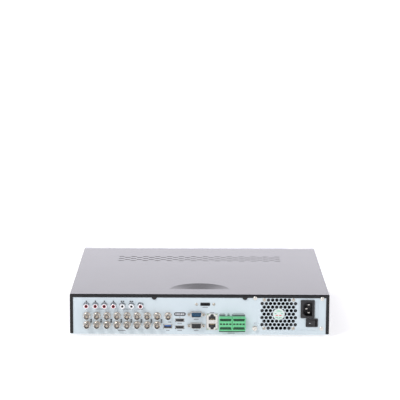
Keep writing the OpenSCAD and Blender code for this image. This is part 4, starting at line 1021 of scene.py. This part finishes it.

# %% [markdown]
# ## Alarm terminals
# The terminals are two green plug-in blocks. Each has a row of square wire holes between two
# wide bays with ribs. The bays and holes are cut out of a rounded block. The bay floors and ribs
# are painted a darker green, and each hole is filled with a black well: painted shade for the deep
# shade inside them.

# %% Mould the terminal blocks
# Darker green for the bay floors and ribs: painted shade.
moulded("terminal_shade", (0.008, 0.060, 0.026), (0.014, 0.085, 0.038), (0.35, 0.5), (0.4, 0.008),
    6)
WIRES, WIRE_PITCH, HOLE_W, HOLE_H, BAY_V, BAY_H = 4, 5.3, 3.7, 2.9, 7.4, 4.6
RIBS, RIB_PITCH, LINING, WELL_GAP = 5, 4.1, 5.2, 0.1
bodies, floors, wells = [], [], []
for ends in solids("terminal_blocks"):
    half_w, half_h = (ends[1].x - ends[0].x) / 2 / MM, (ends[1].z - ends[0].z) / 2 / MM
    spot = on_panel(ends)
    body = block("terminal_block", (-half_w, -half_h, -0.6), (half_w, half_h, 9.1), 0.5)
    cutters = []
    for s in (1, -1):
        low_y, high_y = s * BAY_V - BAY_H / 2, s * BAY_V + BAY_H / 2
        bay = block("bay", (-half_w + 1.1, low_y, 5.5), (half_w - 1.1, high_y, 12))
        edit(bay)
        pick("verts", lambda v: v.co.y * s < BAY_V * MM)
        bpy.ops.transform.resize(value=(0.9, 1, 1))
        cutters.append(done())
        floor = block("bay_floor", (-half_w + 1, low_y - 0.2, LINING),
            (half_w - 1, high_y + 0.2, 7.4), 0.15)
        floors.append(to_panel(floor, spot))
        for i in range(RIBS):
            x = (i - (RIBS - 1) / 2) * RIB_PITCH
            rib = block("bay_rib", (x - 0.35, low_y, LINING), (x + 0.35, high_y, 8.3), 0.12)
            floors.append(to_panel(rib, spot))
    for i in range(WIRES):
        x = (i - (WIRES - 1) / 2) * WIRE_PITCH
        cutters.append(block("hole", (x - HOLE_W / 2, -HOLE_H / 2, 4),
            (x + HOLE_W / 2, HOLE_H / 2, 12)))
        # A black block fills each wire hole almost to its mouth: painted shade.
        well = block("well", (x - HOLE_W / 2 - WELL_GAP, -HOLE_H / 2 - WELL_GAP, 3.5),
            (x + HOLE_W / 2 + WELL_GAP, HOLE_H / 2 + WELL_GAP, 8.5), 0.1)
        wells.append(to_panel(well, spot))
    cut(body, joined("terminal_cutter", *cutters))
    bodies.append(to_panel(body, spot))
complete(joined("alarm_terminals", *bodies), "green_plastic", stands_for=["terminal_blocks"],
    angle=30)
complete(joined("terminal_bays", *floors), "green_plastic", finish="terminal_shade")
complete(joined("terminal_wells_painted_shade", *wells), "black_plastic")

# %% [markdown]
# ## Fan
# A fan blade is a twisted strip. One line, extruded in small steps that each turn it a little
# about the axle and lower it, makes the strip. Solidify gives it thickness, and its copies are
# turned round the hub. The rotor turns on its own body, so every part of it rides there.

# %% Twist the fan blades
BLADES, HUB_R, BLADE_R, BLADE_STEPS = 7, 14, 27.4, 8
BLADE_DEPTH, HUB_WALL = 14.6, 1.5
rotor_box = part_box("fan_rotor")
rotor_face = (rotor_box[1].y - PANEL_Y) / MM

nothing_selected()
bpy.ops.mesh.primitive_plane_add(size=1)
blade = bpy.context.object
blade.name = "blade"
edit(blade)
pick("verts", lambda v: v.co.y > 0)
bpy.ops.mesh.delete(type="VERT")
pick_all()
bpy.ops.mesh.subdivide(number_cuts=3)
pick_all()
bpy.ops.transform.resize(value=((BLADE_R - HUB_R + 1) * MM, 1, 1))
bpy.ops.transform.translate(value=((BLADE_R + HUB_R - 1) / 2 * MM, 0.5, (rotor_face - 0.2) * MM))
for step in range(BLADE_STEPS):
    extrude(-BLADE_DEPTH / BLADE_STEPS)
    bpy.ops.transform.rotate(value=math.radians(3 + 0.6 * step), orient_axis="Z",
        center_override=(0, 0, 0))
done()
modified(blade, "SOLIDIFY", thickness=1.1 * MM, offset=0)
edit(blade)
face_outward()
done()
parts = copies_of(blade, [((0, 0, 0), Matrix.Rotation(index * 2 * math.pi / BLADES, 4, "Z"))
    for index in range(BLADES)])
hub_profile = [(HUB_R - HUB_WALL, -14.9), (HUB_R, -14.9), (HUB_R, -1), (HUB_R - 0.3, -0.3),
    (HUB_R - 1, 0), (9.6, 0), (9.4, -0.4), (1.6, -0.4), (1.6, -16.5), (1.4, -16.5), (1.4, -2),
    (HUB_R - HUB_WALL, -2)]
hub = turned("hub", [(radius, rotor_face + height) for radius, height in hub_profile], sides=48,
    ring=True)
rotor = to_panel(joined("fan_wheel", hub, *parts), rotor_box)
complete(rotor, "black_plastic", body="fan_rotor", stands_for=["fan_rotor"])

# %% [markdown]
# A round paper label is stuck on the middle of the grille. Its print is only patches of pale green
# and two red dashes.

# %% Stick on the grille label
printed("legend_green", (0.20, 0.50, 0.34), (0.27, 0.56, 0.40))
printed("legend_red", (0.66, 0.05, 0.04), (0.74, 0.08, 0.07))
label_spot = on_panel(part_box("grille_label"))
LABEL_FACE = 0.42
label = turned("fan_label", [(10.1, 0.08), (10.2, 0.2), (10.15, 0.36), (9.9, LABEL_FACE)], sides=64,
    solid=True)
complete(to_panel(label, label_spot), "label_paper", stands_for=["grille_label"])
green_print = ((0, 6.4, 6, 0.9), (0.6, 4.4, 9, 1.1), (-5.6, 1.2, 3.2, 1.6), (5.4, 1.4, 3.6, 1.4),
    (-3.4, -5.4, 4.6, 1.5), (2.6, -6.2, 5, 1.7), (0, -8.2, 5, 0.8))
red_print = ((-3.1, -2.0, 4.4, 1.2), (2.9, -2.0, 4.2, 1.2))
for name, marks in (("green", green_print), ("red", red_print)):
    prints = [to_panel(plate("print", width, height, 0, INK, corner=0.3, steps=2),
        label_spot + mm(-x, LABEL_FACE, y)) for x, y, width, height in marks]
    complete(joined("label_print_" + name, *prints), "label_paper", finish="legend_" + name)

# %% [markdown]
# ## Mains inlet and switch
# The inlet is a moulded housing with a rounded flange and a deep mouth, two of whose corners are
# cut so that the plug fits only one way. Its three blades have rounded tips. The switch beside it
# has a rocker with a valley, on its own body, so that it can tilt.

# %% Mould the inlet
def flange(name, width, height, body_w, body_h, depth, lift):
    """A rounded flange in front of a housing that reaches back through the panel."""
    front = soften(plate(name, width, height, 0.1, lift, corner=1.2), lift - 0.01, 0.5)
    return cut(front, block("housing", (-body_w / 2, -body_h / 2, -depth),
        (body_w / 2, body_h / 2, lift - 0.4)), "UNION")


def mouth(width, height, corner, low, high):
    solid = block("mouth", (-width / 2, -height / 2, low), (width / 2, height / 2, high))
    edit(solid)
    pick("edges", lambda e: all(v.co.x < 0 for v in e.verts)
        and abs(e.verts[0].co.z - e.verts[1].co.z) > 1 * MM)
    bevel(corner, 1)
    return done()


MOUTH = (15.5, 24, 4.5)  # width, height and cut corner
inlet_box, pin_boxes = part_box("mains_inlet"), solids("inlet_pins")
inlet = flange("mains_inlet_housing", 24, 31.6, 20, 27, 15, 2.5)
cut(inlet, mouth(*MOUTH, -14, 6))
lip = cut(mouth(17.1, 25.6, 4.9, 1.5, 2.9), mouth(*MOUTH, 0, 6))
complete(to_panel(joined("mains_inlet_housing", inlet, lip), inlet_box), "black_plastic",
    stands_for=["mains_inlet"], angle=30)
blades = [to_panel(block("blade", (-2, -1, -13.9), (2, 1, -1.5), 0.55, 3), ends)
    for ends in pin_boxes]
complete(joined("inlet_blades", *blades), "screw_nickel", stands_for=["inlet_pins"])

# %% Mould the switch and its rocker
REST_TILT, PIVOT, ROCKER_HALF, VALLEY = math.radians(7), -4.5, 6.9, 1.2
switch_spot = on_panel(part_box("switch_frame"))
switch = flange("switch_housing", 20.8, 14.8, 19, 12.6, 9.6, 1.9)
cut(switch, block("rocker_hole", (-8.0, -5.2, -9), (8.0, 5.2, 6)))
complete(to_panel(switch, switch_spot), "black_plastic", stands_for=["switch_frame"], angle=30)

rocker = block("rocker_cap", (-ROCKER_HALF, -4.85, -0.2), (ROCKER_HALF, 4.85, 7.6))
edit(rocker)
pick_all()
bpy.ops.mesh.bisect(plane_co=(0, 0, 0), plane_no=(1, 0, 0))
pick("verts", lambda v: abs(v.co.x) < 1e-6 and v.co.z > 0)
raise_by(-VALLEY)
pick("edges", lambda e: all(v.co.z > 5 * MM for v in e.verts) and not all(abs(v.co.x) < 1e-6
    for v in e.verts))
bevel(0.5, 3)
done()
axle = turned("axle", [(1, -5.5), (1, 5.5)], sides=20, solid=True)
axle = moved(axle, (0, 0, 0), spin(90, "X"))
rocker_spot = switch_spot + Vector((0, PIVOT * MM, 0))
tilt = TO_PANEL @ Matrix.Rotation(-REST_TILT, 4, "Y")
slope = math.atan(VALLEY / ROCKER_HALF)
complete(moved(joined("rocker_cap", rocker, axle), rocker_spot, tilt), "black_plastic",
    body="power_rocker", stands_for=["power_rocker"])
on_mark = moved(plate("on_mark", 2.8, 0.7, 0, 0.06, corner=0.2, steps=2), mm(-2.6, -0.7, 6.87),
    Matrix.Rotation(slope, 4, "Y"))
complete(moved(on_mark, rocker_spot, tilt), "black_plastic", body="power_rocker",
    finish="legend_pale")

# %% [markdown]
# ## Feet
# Each rubber foot is a turned ring with a soft outer edge, held by a screw that sits well up
# inside it, so that only rubber touches the shelf.

# %% Turn the feet
foot = turned("rubber_foot", [(2.4, 1.6), (5.6, 1.4), (6.1, 0.4), (6.6, 0), (7.7, 0), (8.2, 0.4),
    (8.8, 2.2), (9.0, 4.3), (8.8, 4.98), (2.4, 4.98)], sides=48, ring=True)
foot_spots = [middle_of(ends).xy.to_3d() for ends in solids("feet")]
complete(repeated(foot, "rubber_feet", foot_spots), "rubber", stands_for=["feet"])
screw = turned("foot_screw", [(1.9, 4.9), (2.35, 3.4), (2.1, 2.9), (1.4, 2.6), (0.9, 2.6),
    (0.85, 3.2)], sides=24, solid=True)
complete(repeated(screw, "foot_screws", foot_spots), "black_screw")

# %% [markdown]
# ## Front
# The bezel is a moulded frame: a rounded plate with a softened outer edge, a shallow recess for the
# gloss fascia and an opening behind it. The keys are turned with a shallow dish for the
# fingertip. Each key and its printed mark ride on that key's own body, so that they press in.

# %% Mould the bezel
LEDGE, SINK, WALL, BEZEL_D = 5, 2, 11, 11.9


bezel_low, bezel_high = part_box("front_bezel")


def to_front(piece, ends, rise=0.0):
    """Sets a piece on the front face before the middle of a box, or some way above it."""
    spot = middle_of(ends)
    spot.y = bezel_low.y
    return moved(piece, spot + Vector((0, 0, rise * MM)), TO_FRONT)


bezel_w, bezel_h = (bezel_high.x - bezel_low.x) / MM, (bezel_high.z - bezel_low.z) / MM
bezel = soften(plate("bezel_frame", bezel_w, bezel_h, -BEZEL_D, 0, corner=3, steps=6), -0.01, 1.1,
    4)
cut(bezel, plate("recess", bezel_w - 2 * LEDGE, bezel_h - 2 * LEDGE, -SINK, 5, corner=2))
cut(bezel, plate("opening", bezel_w - 2 * WALL, bezel_h - 2 * WALL, -20, 5, corner=2))
complete(to_front(bezel, (bezel_low, bezel_high)), "bezel_plastic", stands_for=["front_bezel"],
    angle=30)

# %% Turn the keys and print their marks
moulded("key_mark", (0.70, 0.72, 0.74), (0.78, 0.80, 0.82), (0.4, 0.5), (0.1, 0.002), 3)
for name, angle in (("up", 90), ("down", -90), ("left", 180), ("right", 0), ("enter", None)):
    key_name = "key_" + name
    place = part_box(key_name)
    cap = turned(key_name + "_cap", [(2, -5.9), (2, -5.4), (6.6, -5.4), (6.6, -4.4), (5.6, -4.4),
        (5.6, 0.6), (5.45, 0.95), (5.1, 1.17), (4.7, 1.2), (3.4, 1.08), (2, 0.95), (0.7, 0.9)],
        sides=48, solid=True)
    complete(to_front(cap, place), "key_plastic", body=key_name, stands_for=[key_name])
    if angle is None:
        mark = turned("mark", [(1.3, 0.9), (1.3, 1.02), (1.9, 1.02), (1.9, 0.9)], sides=32,
            ring=True)
    else:
        mark = turned("mark", [(1.9, 0.9), (1.9, 1.0), (1.8, 1.05)], sides=3, solid=True)
        mark = moved(mark, (0, 0, 0), spin(angle - 90, "Z"))
    mark.name = key_name + "_mark"
    complete(to_front(mark, place), "key_plastic", body=key_name, finish="key_mark", angle=20)

power = soften(plate("power_cap", 18, 18, -4.5, 1.2, corner=3, steps=6), 1.1, 0.5)
groove = turned("groove", [(4.2, 0.7), (4.2, 3), (5.0, 3), (5.0, 0.7)], sides=48, ring=True)
cut(power, groove)
back = plate("power_back", 20, 20, -5.4, -4.5, corner=3)
stem = turned("power_stem", [(3, -5.9), (3, -5.3)], sides=24, solid=True)
power_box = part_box("power_button")
complete(to_front(joined("power_cap", power, back, stem), power_box), "key_plastic",
    body="power_button", stands_for=["power_button"], angle=30)
halo = turned("power_halo", [(4.24, 0.6), (4.24, 1.02), (4.4, 1.1), (4.8, 1.1), (4.96, 1.02),
    (4.96, 0.6)], sides=48, ring=True)
complete(to_front(halo, power_box), "light_pipe", body="power_button")

# %% Dress the fascia
# A black core fills each front port just behind its mouth: part black plastic, part painted shade.
cores_and_shade, marks = [], []
for ends in solids("front_ports"):
    cores_and_shade.append(to_front(block("port_core_and_shade", (-6.2, -2.5, -14), (6.2, 2.5, -1.6), 0.15), ends))
    cores_and_shade.append(to_front(block("port_tongue", (-5.4, 0.1, -2), (5.4, 1.9, -0.5), 0.2), ends))
    marks.append(to_front(plate("port_mark", 5, 0.8, 0, INK, corner=0.3, steps=2), ends, -6.2))
for ends in solids("status_lights"):
    marks.append(to_front(plate("light_mark", 3.6, 0.7, 0, INK, corner=0.3, steps=2), ends, 4.8))
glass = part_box("display_window")
glass_w, glass_h = (glass[1].x - glass[0].x) / MM, (glass[1].z - glass[0].z) / MM
border = plate("window_border", glass_w + 3, glass_h + 3, 0, 0.08, corner=2.4)
cut(border, plate("hole", glass_w + 1.4, glass_h + 1.4, -1, 1, corner=2))
marks.append(to_front(border, glass))
complete(joined("front_port_cores_and_shade", *cores_and_shade), "black_plastic")
complete(joined("fascia_marks", *marks), "fascia_plastic", finish="key_mark")
